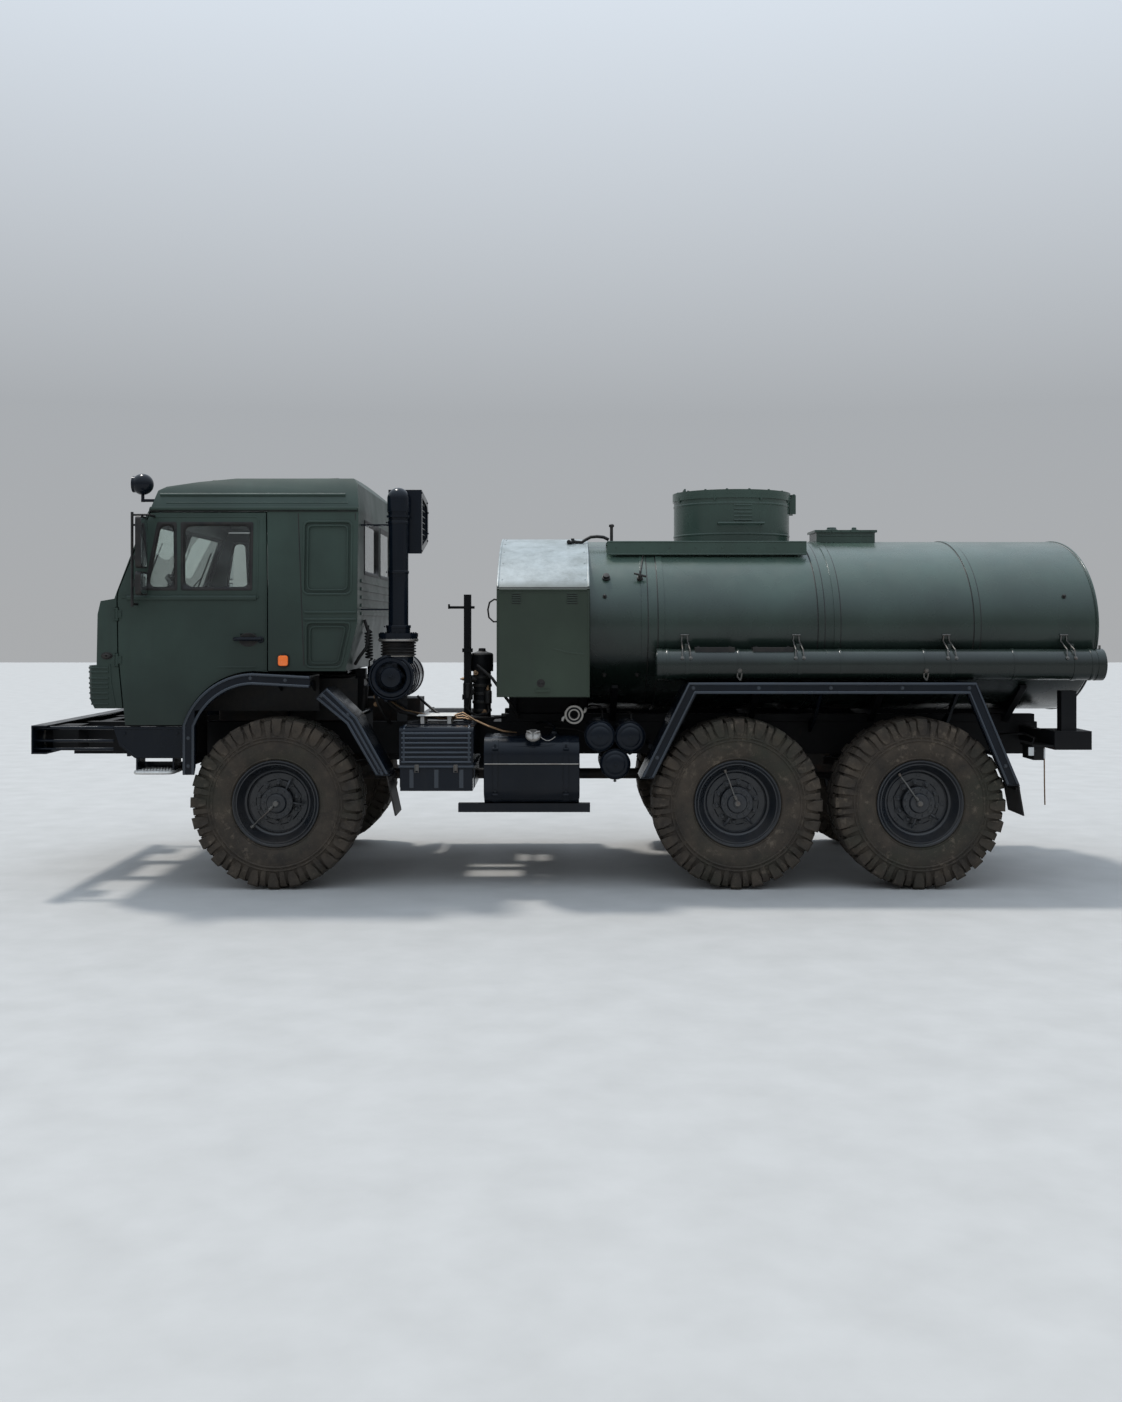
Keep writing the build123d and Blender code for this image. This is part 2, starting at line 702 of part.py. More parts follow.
def cab_floor():
    """Footwell, riser and seat platform, with the pivot lugs underneath."""
    outline = [
        (riser_x, cab_rear_floor_z), (riser_x, cab_sill_z), (cab_front_x + cab_wall, cab_sill_z),
        (cab_front_x + cab_wall, cab_sill_z + cab_wall), (riser_x - cab_wall, cab_sill_z + cab_wall),
        (riser_x - cab_wall, cab_rear_floor_z + cab_wall), (cab_rear_x - 87, cab_rear_floor_z + cab_wall),
        (cab_rear_x - 87, cab_rear_floor_z)]
    wide = cab_half - cab_wall
    floor = side_plate(outline, -wide, wide)
    for side in (-1, 1):
        y0, y1 = sorted((side * (wide - 10), side * (wide + 5)))
        floor -= block(cab_front_x, door_rear_x + door_gap, y0, y1, 1200, 1800)
    lug_radius = 35
    for side in (-1, 1):
        y = side * (frame_half - 40)
        lug = block(tilt_x - lug_radius, tilt_x + lug_radius, y - 15, y + 15, tilt_z, cab_sill_z)
        lug += rod_y(tilt_x, y - 15, y + 15, tilt_z, lug_radius)
        lug += rod_y(tilt_x, y - 40, y + 40, tilt_z, 12)
        floor += lug
    return floor


def cab_front(front):
    """Front panel with its split windscreen opening and grille slots."""
    for side in (-1, 1):
        y0, y1 = sorted((side * 22, side * 1050))
        front -= block(cab_front_x + 60, cab_front_x + 420, y0, y1, 2160, 2655)
    for index in range(6):
        z = 1370 + 40 * index
        front -= block(cab_front_x - 100, cab_front_x + 60, -820, 820, z, z + 20)
    for z in hinge_heights:
        front -= hinge_room(z)
        front -= flip(hinge_room(z))
        front += hinge_eyes(z)
        front += flip(hinge_eyes(z))
    return front


def cab_glass():
    """Windscreen halves and rear panes, seated in their openings."""
    layer = cab_block(glass_depth) - cab_block(glass_depth + glass_thick)
    panes = []
    for side in (-1, 1):
        y0, y1 = sorted((side * 22, side * 1050))
        panes.append(layer & block(cab_front_x + 60, cab_front_x + 420, y0, y1, 2160, 2655))
        y0, y1 = sorted((side * 50, side * 840))
        panes.append(layer & block(cab_rear_x - 100, cab_rear_x + 20, y0, y1, 2300, 2685))
    return together(panes)


def cab_rear(rear):
    """Rear wall with two windows and pressed ribs."""
    for side in (-1, 1):
        y0, y1 = sorted((side * 50, side * 840))
        rear -= block(cab_rear_x - 100, cab_rear_x + 20, y0, y1, 2300, 2685)
    for index in range(5):
        z = 1985 + 60 * index
        rear += block(cab_rear_x - 5, cab_rear_x + 9, -1050, 1050, z, z + 24)
    return rear


def cab_sides(sides):
    """Side walls with the two pressed panels of the sleeper."""
    upper = [(-1925, 2141), (-1925, 2657), (-1590, 2657), (-1590, 2141)]
    lower = [(-1905, 1925), (-1592, 1925), (-1662, 1612), (-1905, 1612)]
    press = side_skin(-20, press_depth)
    for outline in (upper, lower):
        tool = side_plate(outline, 900, 1300) & press
        sides -= tool
        sides -= flip(tool)
    return sides


def seats():
    """Two seats and the bunk behind them."""
    base = cab_rear_floor_z + cab_wall
    outline = [
        (-2720, base), (-2720, 1830), (-2290, 1810), (-2240, 2480), (-2130, 2480), (-2170, base)]
    pieces = [side_plate(outline, side * 620 - 260, side * 620 + 260) for side in (-1, 1)]
    pieces.append(block(-2080, cab_rear_x, -1130, 1130, base, 1930) & cab_block(cab_wall))
    return together(pieces)


def dashboard():
    """Dash panel with the steering column and wheel on the left."""
    outline = [
        (-3440, 1720), (-3440, 2100), (-3225, 2112), (-3060, 2105), (-3010, 2040), (-3130, 1760), (-3300, 1700)]
    dash = side_plate(outline, -1120, 1120) & cab_block(cab_wall)
    wheel_plane = Plane(origin=(-2890, -620, 2140), z_dir=(0.64, 0, 0.77))
    ring = wheel_plane * extrude(RegularPolygon(238, 16) - RegularPolygon(208, 16), amount=14, both=True)
    spoke = wheel_plane * Box(36, 450, 14)
    column = wheel_plane * Pos(0, 0, -140) * Cylinder(30, 300)
    return dash + ring + spoke + column


def cab_lamps():
    """Search lamp at the roof's front corner and the side marker lamps."""
    lamp_x = -3127
    lamp_y0 = -cab_roof_half + 85
    lamp_z = roof_z - 50
    ball = Pos(lamp_x, lamp_y0, lamp_z) * Sphere(78)
    ball -= block(lamp_x - 100, lamp_x - 60, lamp_y0 - 90, lamp_y0 + 90, lamp_z - 90, lamp_z + 90)
    ball += rod_x(lamp_x - 70, lamp_x - 40, lamp_y0, lamp_z, 60)
    foot_z = gutter_z + 65
    ball += rod_z(lamp_x, lamp_y0, foot_z - 12, lamp_z, 12)
    ball += rod_x(lamp_x - 10, lamp_x + 200, lamp_y0, foot_z, 11)
    pieces = [ball - cab_block(0)]
    for marker in both(rod_y(-2072, cab_half, cab_half + 16, 1655, 40)):
        pieces.append(marker)
    return together(pieces)


def intake_stack():
    """Intake pipe with its domed cap and hooded inlet, on brackets from the cab's rear wall."""
    y = -stack_y
    stack = rod_z(stack_x, y, stack_foot_z, 2720, stack_radius)
    stack += rod_z(stack_x, y, stack_foot_z, stack_foot_z + 26, 145)
    stack += rod_z(stack_x, y, stack_foot_z + 20, stack_foot_z + 70, stack_radius + 14)
    stack += rod_z(stack_x, y, 2700, 2716, stack_radius + 14)
    stack += rod_z(stack_x, y, 2742, 2840, stack_radius + 9)
    stack += rod_z(stack_x, y, 2710, 2745, stack_radius + 3)
    stack += Pos(stack_x, y, 2840) * Sphere(stack_radius + 9)
    hood = [(-950, 2440), (-480, 2545), (-440, 2620), (-440, 2790), (-500, 2868), (-950, 2912)]
    head = end_plate(hood, stack_x - 80, stack_x + 166)
    face = [(-900, 2500), (-520, 2580), (-490, 2630), (-490, 2770), (-540, 2820), (-900, 2860)]
    head -= end_plate(face, stack_x + 140, stack_x + 180)
    stack += head
    for z in (2020, 2640):
        stack += block(cab_rear_x, stack_x, y - 30, y + 30, z, z + 12)
    return stack


# Chassis equipment


def air_cleaner():
    """Drum across the frame with its lid, its neck to the intake and its foot."""
    drum = rod_y(cleaner_x, -1085, -330, cleaner_z, cleaner_radius)
    drum += rod_y(cleaner_x, -1110, -1080, cleaner_z, cleaner_radius - 14)
    drum += rod_y(cleaner_x, -870, -850, cleaner_z, cleaner_radius + 6)
    drum += rod_z(stack_x, -stack_y, cleaner_z + 100, stack_foot_z - 30, 112)
    drum += rod_z(stack_x, -stack_y, stack_foot_z - 36, stack_foot_z - tank_seat, 142)
    drum += block(cleaner_x - 40, cleaner_x + 40, -frame_half, -340, frame_top, cleaner_z - 120)
    return drum


def equipment_post():
    """Post and valve cluster on the left rail, in front of the cabinet."""
    y = -frame_half + 90
    post = block(-835, -600, -frame_half, -frame_half + 190, frame_top, frame_top + 30)
    post += block(-828, -772, -frame_half + 4, -frame_half + 54, frame_top + 25, 2150)
    post += rod_z(-690, y, frame_top + 20, 1560, 70)
    post += rod_z(-690, y, 1550, 1680, 88)
    post += rod_x(-795, -690, y, 1600, 38)
    return post + block(-820, -780, -frame_half + 50, y, 1582, 1618)


def side_boxes():
    """Battery box on the left and tool box on the right, each with a ribbed lid, on the rails."""
    x0 = -1238
    x1 = -703
    z0 = 713
    z1 = 1175
    lid_z = 883
    rib = 22
    box = block(x0 + 6, x1 - 6, frame_half, box_outer - 12, z0, lid_z + 10)
    lid = block(x0, x1, frame_half, box_outer - 6, lid_z, z1)
    box += fillet(lid.edges().filter_by(Axis.X).sort_by(Axis.Z)[-2:], 40)
    # ribs down the front of the lid and over its top
    for z in (1111, 1029, 964, 899):
        box += block(x0 + 50, x1 - 50, box_outer - 10, box_outer, z - rib / 2, z + rib / 2)
    for y in (560, 740, 920):
        box += block(x0 + 50, x1 - 50, y, y + rib * 2, z1 - 4, z1 + 6)
    return together(both(box))


def fuel_tanks():
    """A fuel tank on each side with its straps, filler and under-run bar."""
    section = Pos((box_inner + box_outer) / 2, fuel_bottom + fuel_height / 2) * RectangleRounded(
        box_outer - box_inner, fuel_height, fuel_corner)
    body = end_plate(section, fuel_front_x, fuel_front_x + fuel_length)
    strap = Pos((box_inner + box_outer) / 2, fuel_bottom + fuel_height / 2) * RectangleRounded(
        box_outer - box_inner + 10, fuel_height + 10, fuel_corner + 5)
    for offset_x in (81, fuel_length - 95):
        x = fuel_front_x + offset_x
        body += end_plate(strap, x - 22, x + 22)
        body += block(x - 20, x + 20, frame_half, box_inner + 5, 930, 1040)
    filler_x = fuel_front_x + 355
    # the filler leans out of the rounded upper edge
    tilt = Pos(filler_x, box_outer - fuel_corner, fuel_bottom + fuel_height - fuel_corner) * Rot(-40, 0, 0)
    body += tilt * Pos(0, 0, fuel_corner + 12) * Cylinder(42, 70)
    body += tilt * Pos(0, 0, fuel_corner + 52) * Cylinder(54, 26)
    body += block(fuel_front_x - 190, fuel_front_x + fuel_length + 80, box_outer - 120, box_outer - 60,
                  fuel_bottom - 58, fuel_bottom + 6)
    # seam flange along the tank
    flange_z = fuel_bottom + 298
    flange_end_x = fuel_front_x + fuel_length - 4
    body += block(fuel_front_x + 4, flange_end_x, box_outer - 4, box_outer + 9, flange_z - 4, flange_z + 4)
    return together(both(body))


def air_receivers():
    """Three air bottles across the left rail on a plate."""
    # centre of each bottle in side view
    places = [(213, 1103), (433, 1098), (324, 900)]
    y_end = -620
    pieces = []
    for x, z in places:
        bottle = rod_y(x, -1150, y_end, z, receiver_radius)
        pieces.append(fillet(bottle.edges().sort_by(Axis.Y)[:1], 34))
    outline = [(150, 1060), (150, 1140), (495, 1140), (495, 1060), (380, 860), (268, 860)]
    plate = side_plate(outline, y_end, y_end + 14)
    plate += block(180, 220, y_end + 10, -frame_half, 1040, 1120)
    plate += block(430, 470, y_end + 10, -frame_half, 1040, 1120)
    return together(pieces + [plate])


def side_steps():
    """Sill panel under each door with its tread."""
    x1 = axle_front_x - 658
    top = door_bottom_z - 12
    outline = [(step_front_x, top), (x1, top), (x1, 950), (-3147, 950), (-3260, 1041)]
    panel = side_plate(outline, 1150, 1188)
    panel += block(-3215, -3195, frame_half, 1155, 960, 1100)
    tread = block(-3139, -2864, 960, half_width, 838, 862)
    tread += block(-3139, -2864, 960, 968, 838, 905)
    corner = [edge for edge in tread.edges().filter_by(Axis.Z) if edge.center().Y > half_width - 1]
    tread = fillet(corner, 60)
    for x in (-3139, -2876):
        panel += block(x, x + 12, 1000, 1188, 850, 975)
    return together(both(panel + tread))


def guard_ring(thick, y0, y1):
    """The front mudguard's arch as a band of one thickness, open at the wheel."""
    face = guard_face()
    inner = offset(face, amount=-thick, kind=Kind.ARC)
    x_leg = axle_front_x - 653 + thick
    x_end = axle_front_x + 259
    band = side_plate(face, y0, y1) - side_plate(inner, y0 - 5, y1 + 5)
    band -= block(x_leg, x_end + 50, y0 - 5, y1 + 5, 700, 1300)
    return band - block(x_end - thick - 5, x_end + 50, y0 - 5, y1 + 5, 1200, front_guard_top - 22 - thick)


def mudguards_front():
    """Arched mudguard ahead of and over each front wheel, and the straight one behind it."""
    lip_y = guard_half - guard_lip
    guard = guard_ring(85, lip_y, guard_half) + guard_ring(guard_skin, guard_inner, guard_half)
    under = front_guard_top - 22 - guard_skin / 2
    for dx in (-60, 190):
        gusset = [
            (frame_half, 1010), (frame_half, 1150), (430, 1400), (guard_inner + 20, under),
            (lip_y, under), (lip_y, under - 40), (guard_inner + 20, under - 50), (450, 1310)]
        guard += end_plate(gusset, axle_front_x + dx, axle_front_x + dx + 16)
    lip = [
        (axle_front_x + 381, 1463), (axle_front_x + 601, 1247), (axle_front_x + 832, 829),
        (axle_front_x + 735, 829), (axle_front_x + 522, 1200), (axle_front_x + 300, 1385)]
    sheet = [
        (axle_front_x + 381, 1463), (axle_front_x + 601, 1247), (axle_front_x + 832, 829),
        (axle_front_x + 822, 829), (axle_front_x + 594, 1240), (axle_front_x + 374, 1455)]
    rear_guard = side_plate(lip, lip_y, guard_half) + side_plate(sheet, guard_inner, guard_half)
    rear_guard += rod_y(axle_front_x + 570, frame_half + 10, guard_half - 10, 1245, 18)
    rear_guard += block(axle_front_x + 540, axle_front_x + 600, frame_half, frame_half + 14, 1000, 1265)
    reach = sqrt(tyre_radius ** 2 + (wheel_y + tyre_width / 2 - kingpin_y) ** 2) + steer_clearance
    ball = Pos(axle_front_x, kingpin_y, axle_z) * Sphere(reach)
    return together(both(guard - ball) + both(rear_guard - ball))


def mudguards_rear():
    """One long mudguard over the two bogie wheels on each side."""
    front_leg = (axle_middle_x - 706, 807)
    front_top = (axle_middle_x - 362, rear_guard_top)
    rear_top = (axle_rear_x + 388, rear_guard_top)
    rear_leg = (axle_rear_x + 698, 757)
    outline = [front_leg, front_top, rear_top, rear_leg]
    lip = 84
    skin = guard_skin

    def band(thick):
        """Outline drawn in along the beam, with the legs narrowed to match."""
        slant = thick * 1.12
        return [
            (front_leg[0] + slant, front_leg[1]), (front_top[0] + slant * 0.62, front_top[1] - thick),
            (rear_top[0] - slant * 0.68, rear_top[1] - thick), (rear_leg[0] - slant, rear_leg[1])]

    lip_face = make_face(Polyline(*(outline + band(lip)[::-1]), close=True))
    skin_face = make_face(Polyline(*(outline + band(skin)[::-1]), close=True))
    guard = side_plate(lip_face, guard_half - guard_lip, guard_half)
    guard += side_plate(skin_face, guard_inner, guard_half)
    z = rear_guard_top - 7
    gusset = [
        (frame_half, 1080), (frame_half, 1156), (560, 1220), (790, z - 115), (guard_inner + 15, z),
        (guard_half - 20, z), (guard_half - 20, z - 40), (guard_inner + 40, z - 60), (600, 1170)]
    for x in (axle_middle_x - 340, bogie_x, axle_rear_x + 360):
        guard += end_plate(gusset, x - 10, x + 10)
    for x, z_stay in ((front_leg[0] + 95, 1010), (rear_leg[0] - 70, 950)):
        guard += rod_y(x, frame_half, guard_inner + 30, z_stay, 16)
    return together(both(guard))


def mudflaps():
    """Rubber flaps behind the front wheels and behind the bogie."""
    pieces = [
        side_plate([(axle_front_x + 806, 829), (axle_front_x + 818, 829), (axle_front_x + 880, 540),
                    (axle_front_x + 868, 540)], guard_inner + 30, guard_half - 10),
        side_plate([(axle_rear_x + 684, 757), (axle_rear_x + 697, 757), (axle_rear_x + 734, 540),
                    (axle_rear_x + 722, 540)], guard_inner + 30, guard_half - 10)]
    return together([each for piece in pieces for each in both(piece)])


def tail_lamps():
    """Lamp clusters on arms ahead of the rear buffers."""
    buffer_x = frame_end_x - 150
    x = buffer_x - 115
    lamp = block(x - 45, buffer_x, 930, 1190, 1028, 1044)
    lamp += block(x - 30, x + 45, 940, 1180, 935, 1030)
    return together(both(lamp))


# Tank, cabinet and fittings


def tank():
    """The oval tank with its raised bands."""
    body = tank_body(0, tank_front_x, tank_rear_x)
    rear_rim = [edge for edge in body.edges() if edge.length > 3000 and edge.center().X > tank_front_x + 100]
    body = fillet(rear_rim, tank_edge)
    for x in band_places:
        body += tank_body(band_height, x - band_width / 2, x + band_width / 2)
    return body


def tank_cradle():
    """Subframe beams, saddles under the tank, cabinet stools and hose tube hangers."""
    y0 = frame_half - frame_flange
    cradle = block(cabinet_front_x, frame_end_x - 20, y0, frame_half, frame_top, frame_top + 60)
    cradle += flip(cradle)
    clear = tank_body(tank_seat, tank_front_x - 5, rear_x)
    saddle = [
        (-frame_half, frame_top), (frame_half, frame_top), (830, 1440),
        (830, 1462), (-830, 1462), (-830, 1440)]
    for x in saddle_places:
        cradle += end_plate(saddle, x - 25, x + 25) - clear
    for x in (cabinet_front_x + 60, cabinet_rear_x - 60):
        for side in (-1, 1):
            s0, s1 = sorted((side * y0, side * frame_half))
            cradle += block(x, x + 60, s0, s1, frame_top + 50, cabinet_bottom)
            p0, p1 = sorted((side * y0, side * (y0 + 8)))
            cradle += block(cabinet_front_x + 60, cabinet_rear_x, p0, p1, frame_top + 50, cabinet_bottom)
    return cradle


def hose_tubes():
    """A long hose tube on each side, with its end caps."""
    tube = rod_x(hose_tube_front_x, hose_tube_rear_x - 10, hose_tube_y, hose_tube_z, hose_tube_radius - 4)
    tube += rod_x(hose_tube_front_x, hose_tube_front_x + 40, hose_tube_y, hose_tube_z, hose_tube_radius)
    tube += rod_x(hose_tube_rear_x - 60, hose_tube_rear_x, hose_tube_y, hose_tube_z, hose_tube_radius)
    return together(both(tube))


def tube_hangers():
    """Clamp rings that hold the hose tubes to the tank's sides."""
    clear = tank_clear(tank_front_x, rear_x)
    pieces = []
    for x in hanger_places:
        ring = rod_x(x - 17, x + 17, hose_tube_y, hose_tube_z, hose_tube_radius)
        arm = block(x - 17, x + 17, 930, 1040, hose_tube_z - 30, hose_tube_z + 30) - clear
        lug = block(x - 14, x + 14, hose_tube_y - 14, hose_tube_y + 14, hose_tube_z + 100, hose_tube_z + 150)
        ring += arm + lug
        ring -= rod_x(x - 20, x + 20, hose_tube_y, hose_tube_z, hose_tube_radius - 4 + tank_seat)
        pieces += both(ring)
    return together(pieces)


def cabinet_face(inset):
    """The cabinet in front view."""
    side = cabinet_half - inset
    low = cabinet_bottom + inset
    sides = Polyline((-side, cabinet_hinge_z), (-side, low), (side, low), (side, cabinet_hinge_z))
    top = ThreePointArc(
        sides @ 1, (0, cabinet_top - inset), sides @ 0)
    return make_face([sides, top])


def pump_cabinet():
    """Cabinet between cab and tank: floor, end walls and curved top, open at the sides."""
    outer = end_plate(cabinet_face(0), cabinet_front_x, cabinet_rear_x)
    front, rear = cabinet_front_x + cabinet_wall, cabinet_rear_x - cabinet_wall
    inner = end_plate(cabinet_face(cabinet_wall), front, rear)
    cabinet = outer - inner
    side_in = cabinet_half - flap_thick - 0.5
    gap_z = cabinet_hinge_z + 9
    for side in (-1, 1):
        y0, y1 = sorted((side * side_in, side * (cabinet_half + 20)))
        cabinet -= block(cabinet_front_x - 5, cabinet_rear_x + 5, y0, y1, cabinet_bottom - 5, gap_z)
        y0, y1 = sorted((side * (side_in - 30), side * side_in))
        cabinet -= block(cabinet_front_x + 60, cabinet_rear_x - 60, y0, y1, cabinet_bottom + 40, gap_z - 40)
    return cabinet


def cabinet_flap():
    """Right-hand side door, hinged along its top edge."""
    gap = 2
    flap = block(cabinet_front_x + gap, cabinet_rear_x - gap, cabinet_half - flap_thick, cabinet_half,
                 cabinet_bottom + 2, cabinet_hinge_z - 2)
    flap += rod_x(cabinet_front_x + 20, cabinet_rear_x - 20, cabinet_half + 2, cabinet_hinge_z, 6)
    flap += block(cabinet_front_x + 280, cabinet_front_x + 380, cabinet_half - 2, cabinet_half + 14,
                  cabinet_bottom + 40, cabinet_bottom + 56)
    return flap


def pump_set():
    """Pump and its outlet, on the cabinet floor, with the coupling under the left side."""
    z0 = cabinet_bottom + cabinet_wall
    pump = block(-400, 20, -330, 330, z0, z0 + 60)
    pump += rod_y(-190, -260, 260, z0 + 260, 170)
    pump += block(-330, -50, -200, 200, z0 + 50, z0 + 150)
    pump += rod_z(-190, 0, z0 + 380, z0 + 600, 60)
    return pump


def side_coupling():
    """Hose coupling below the cabinet on the left, on its pipe from the frame."""
    x = 25
    z = 1260
    pipe = rod_y(x, -1120, -330, z, 38)
    pipe += block(x - 34, x + 34, -frame_half + 5, -340, frame_top + 60, z)
    pipe += rod_y(x, -1120, -1090, z, 62)
    pipe += rod_y(x, -1060, -1040, z, 55)
    pipe -= rod_y(x, -1125, -1060, z, 26)
    return pipe


def walkways():
    """Tread decks with side boards along the top of the tank, either side of the neck."""
    x0 = 280
    x1 = 1790
    clear = tank_clear(tank_front_x, rear_x)
    around = rod_z(neck_x, 0, deck_z - 300, deck_z + 100, neck_radius + neck_rim + 4)
    deck = block(x0, x1, 360, deck_half, deck_z - 6, deck_z)
    deck += block(x0, x1, deck_half - 6, deck_half, deck_z - 106, deck_z)
    for x in (x0 + 60, (x0 + x1) / 2, x1 - 70):
        deck += block(x, x + 10, 420, deck_half - 3, deck_z - 110, deck_z - 3)
    return together(both(deck - clear - around))


def manhole_neck():
    """The drum around the manhole, with its rim, hinge ears and hand rail."""
    clear = tank_clear(neck_x - 700, neck_x + 700)
    seat_z = lid_top - lid_thick - tank_seat
    ear_radius = 16

    def drum(radius, z0, z1):
        # a quarter turn keeps the round face's seam off the truck's middle, so that the tank cuts it cleanly
        return Pos(neck_x, 0, (z0 + z1) / 2) * Rot(0, 0, 90) * Cylinder(radius, z1 - z0)

    neck = drum(neck_radius, tank_z + 400, seat_z)
    neck += drum(neck_radius + neck_rim, seat_z - 30, seat_z)
    neck -= drum(neck_radius - neck_wall, tank_z + 300, seat_z + 10)
    neck -= clear
    for side in (-1, 1):
        y0, y1 = sorted((side * 64, side * 82))
        ear_x = neck_x + neck_radius - 4
        ear = block(ear_x, lid_hinge_x + ear_radius, y0, y1, seat_z - 130, lid_hinge_z - 22)
        ear += block(lid_hinge_x - ear_radius, lid_hinge_x + ear_radius, y0, y1, seat_z - 130, lid_hinge_z)
        ear += rod_y(lid_hinge_x, y0, y1, lid_hinge_z, ear_radius)
        neck += ear - rod_y(lid_hinge_x, y0 - 5, y1 + 5, lid_hinge_z, 6.3)
        rail_y = side * (neck_radius + 34)
        rail_z = seat_z - 231
        neck += rod_x(neck_x - 165, neck_x + 195, rail_y, rail_z, 10)
        for dx in (-155, 185):
            reach = sqrt((neck_radius - 3) ** 2 - dx ** 2)
            r0, r1 = sorted((side * reach, rail_y))
            neck += rod_y(neck_x + dx, r0, r1, rail_z, 9)
    return neck


def manhole_lid():
    """Flat lid with a hinge barrel at the rear and a grip at the front."""
    lid = rod_z(neck_x, 0, lid_top - lid_thick, lid_top, neck_radius + neck_rim)
    lid += block(neck_x + neck_radius - 40, lid_hinge_x, -50, 50, lid_hinge_z - 6, lid_hinge_z + 14)
    lid += rod_y(lid_hinge_x, -58, 58, lid_hinge_z, 14)
    lid += rod_y(lid_hinge_x, -85, 85, lid_hinge_z, 6)
    return lid


def vent_box():
    """Valve housing on top of the tank behind the neck."""
    clear = tank_clear(tank_front_x, rear_x)
    box = block(1950, 2412, -235, 75, tank_z + 560, 2650)
    box += block(1935, 2427, -250, 90, 2644, 2663)
    box -= clear
    return box


# Write every node

save("chassis_frame", chassis_frame())
save("cross_members", cross_members())
save("front_bumper", front_bumper())
save("lamps", together([headlamps(), tail_lamps()]))
save("engine", engine())
save("driveline", driveline())
save("axles", together([axle_front(), axles_rear()]))
save("springs", springs())
save("knuckle_right", knuckle())
save("knuckle_left", flip(knuckle()))
save("tie_rod", tie_rod())
wheels()
front_shell, rear_shell, side_shell, roof_shell = cab_pieces()
save("cab_floor", cab_floor())
save("cab_front", cab_front(front_shell))
save("cab_rear", cab_rear(rear_shell))
save("cab_sides", together([cab_sides(side_shell)]))
save("cab_roof", roof_shell)
save("cab_glass", cab_glass())
save("door_right", door())
save("door_left", flip(door()))
save("door_glass_right", door_glass())
save("door_glass_left", flip(door_glass()))
save("mirrors_right", mirror_arms())
save("mirrors_left", flip(mirror_arms()))
save("seats", seats())
save("dashboard", dashboard())
save("cab_lamps", cab_lamps())
save("intake_stack", intake_stack())
save("air_cleaner", air_cleaner())
save("equipment", together([equipment_post(), side_coupling()]))
save("side_boxes", side_boxes())
save("fuel_tanks", fuel_tanks())
save("air_receivers", air_receivers())
save("side_steps", side_steps())
save("mudguards_front", mudguards_front())
save("mudguards_rear", mudguards_rear())
save("mudflaps", mudflaps())
save("tank", tank())
save("tank_cradle", tank_cradle())
save("hose_tubes", hose_tubes())
save("tube_hangers", tube_hangers())
save("pump_cabinet", pump_cabinet())
save("cabinet_flap_right", cabinet_flap())
save("cabinet_flap_left", flip(cabinet_flap()))
save("pump_set", pump_set())
save("tank_top", together([walkways(), vent_box()]))
save("manhole_neck", manhole_neck())
save("manhole_lid", manhole_lid())
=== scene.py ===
from math import acos, asin, cos, pi, radians, sin

import bmesh
import bpy
from mathutils import Matrix, Vector


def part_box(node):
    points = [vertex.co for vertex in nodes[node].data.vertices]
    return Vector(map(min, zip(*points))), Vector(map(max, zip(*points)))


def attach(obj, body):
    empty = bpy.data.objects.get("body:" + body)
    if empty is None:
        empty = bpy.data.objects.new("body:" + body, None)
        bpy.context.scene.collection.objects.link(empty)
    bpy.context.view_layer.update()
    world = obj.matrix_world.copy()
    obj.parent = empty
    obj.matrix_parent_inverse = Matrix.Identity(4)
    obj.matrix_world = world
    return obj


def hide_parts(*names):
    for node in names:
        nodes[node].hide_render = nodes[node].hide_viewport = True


# Finish and fine detail of a three-axle tanker truck, in metres.
# The truck faces -X, its left side is -Y and the ground is Z 0.

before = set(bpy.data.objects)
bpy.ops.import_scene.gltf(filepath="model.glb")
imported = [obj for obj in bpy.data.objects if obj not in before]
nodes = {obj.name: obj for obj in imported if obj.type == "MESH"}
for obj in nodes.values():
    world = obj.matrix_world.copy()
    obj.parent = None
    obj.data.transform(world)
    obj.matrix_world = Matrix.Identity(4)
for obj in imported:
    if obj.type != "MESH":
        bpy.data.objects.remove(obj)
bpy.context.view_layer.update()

LEFT, RIGHT = -1, 1
SIDES = ((LEFT, "left"), (RIGHT, "right"))
UP, ACROSS = (0, 0, 1), (0, 1, 0)
FORWARD, BACKWARD, LEFTWARD = (-1, 0, 0), (1, 0, 0), (0, -1, 0)


# Materials


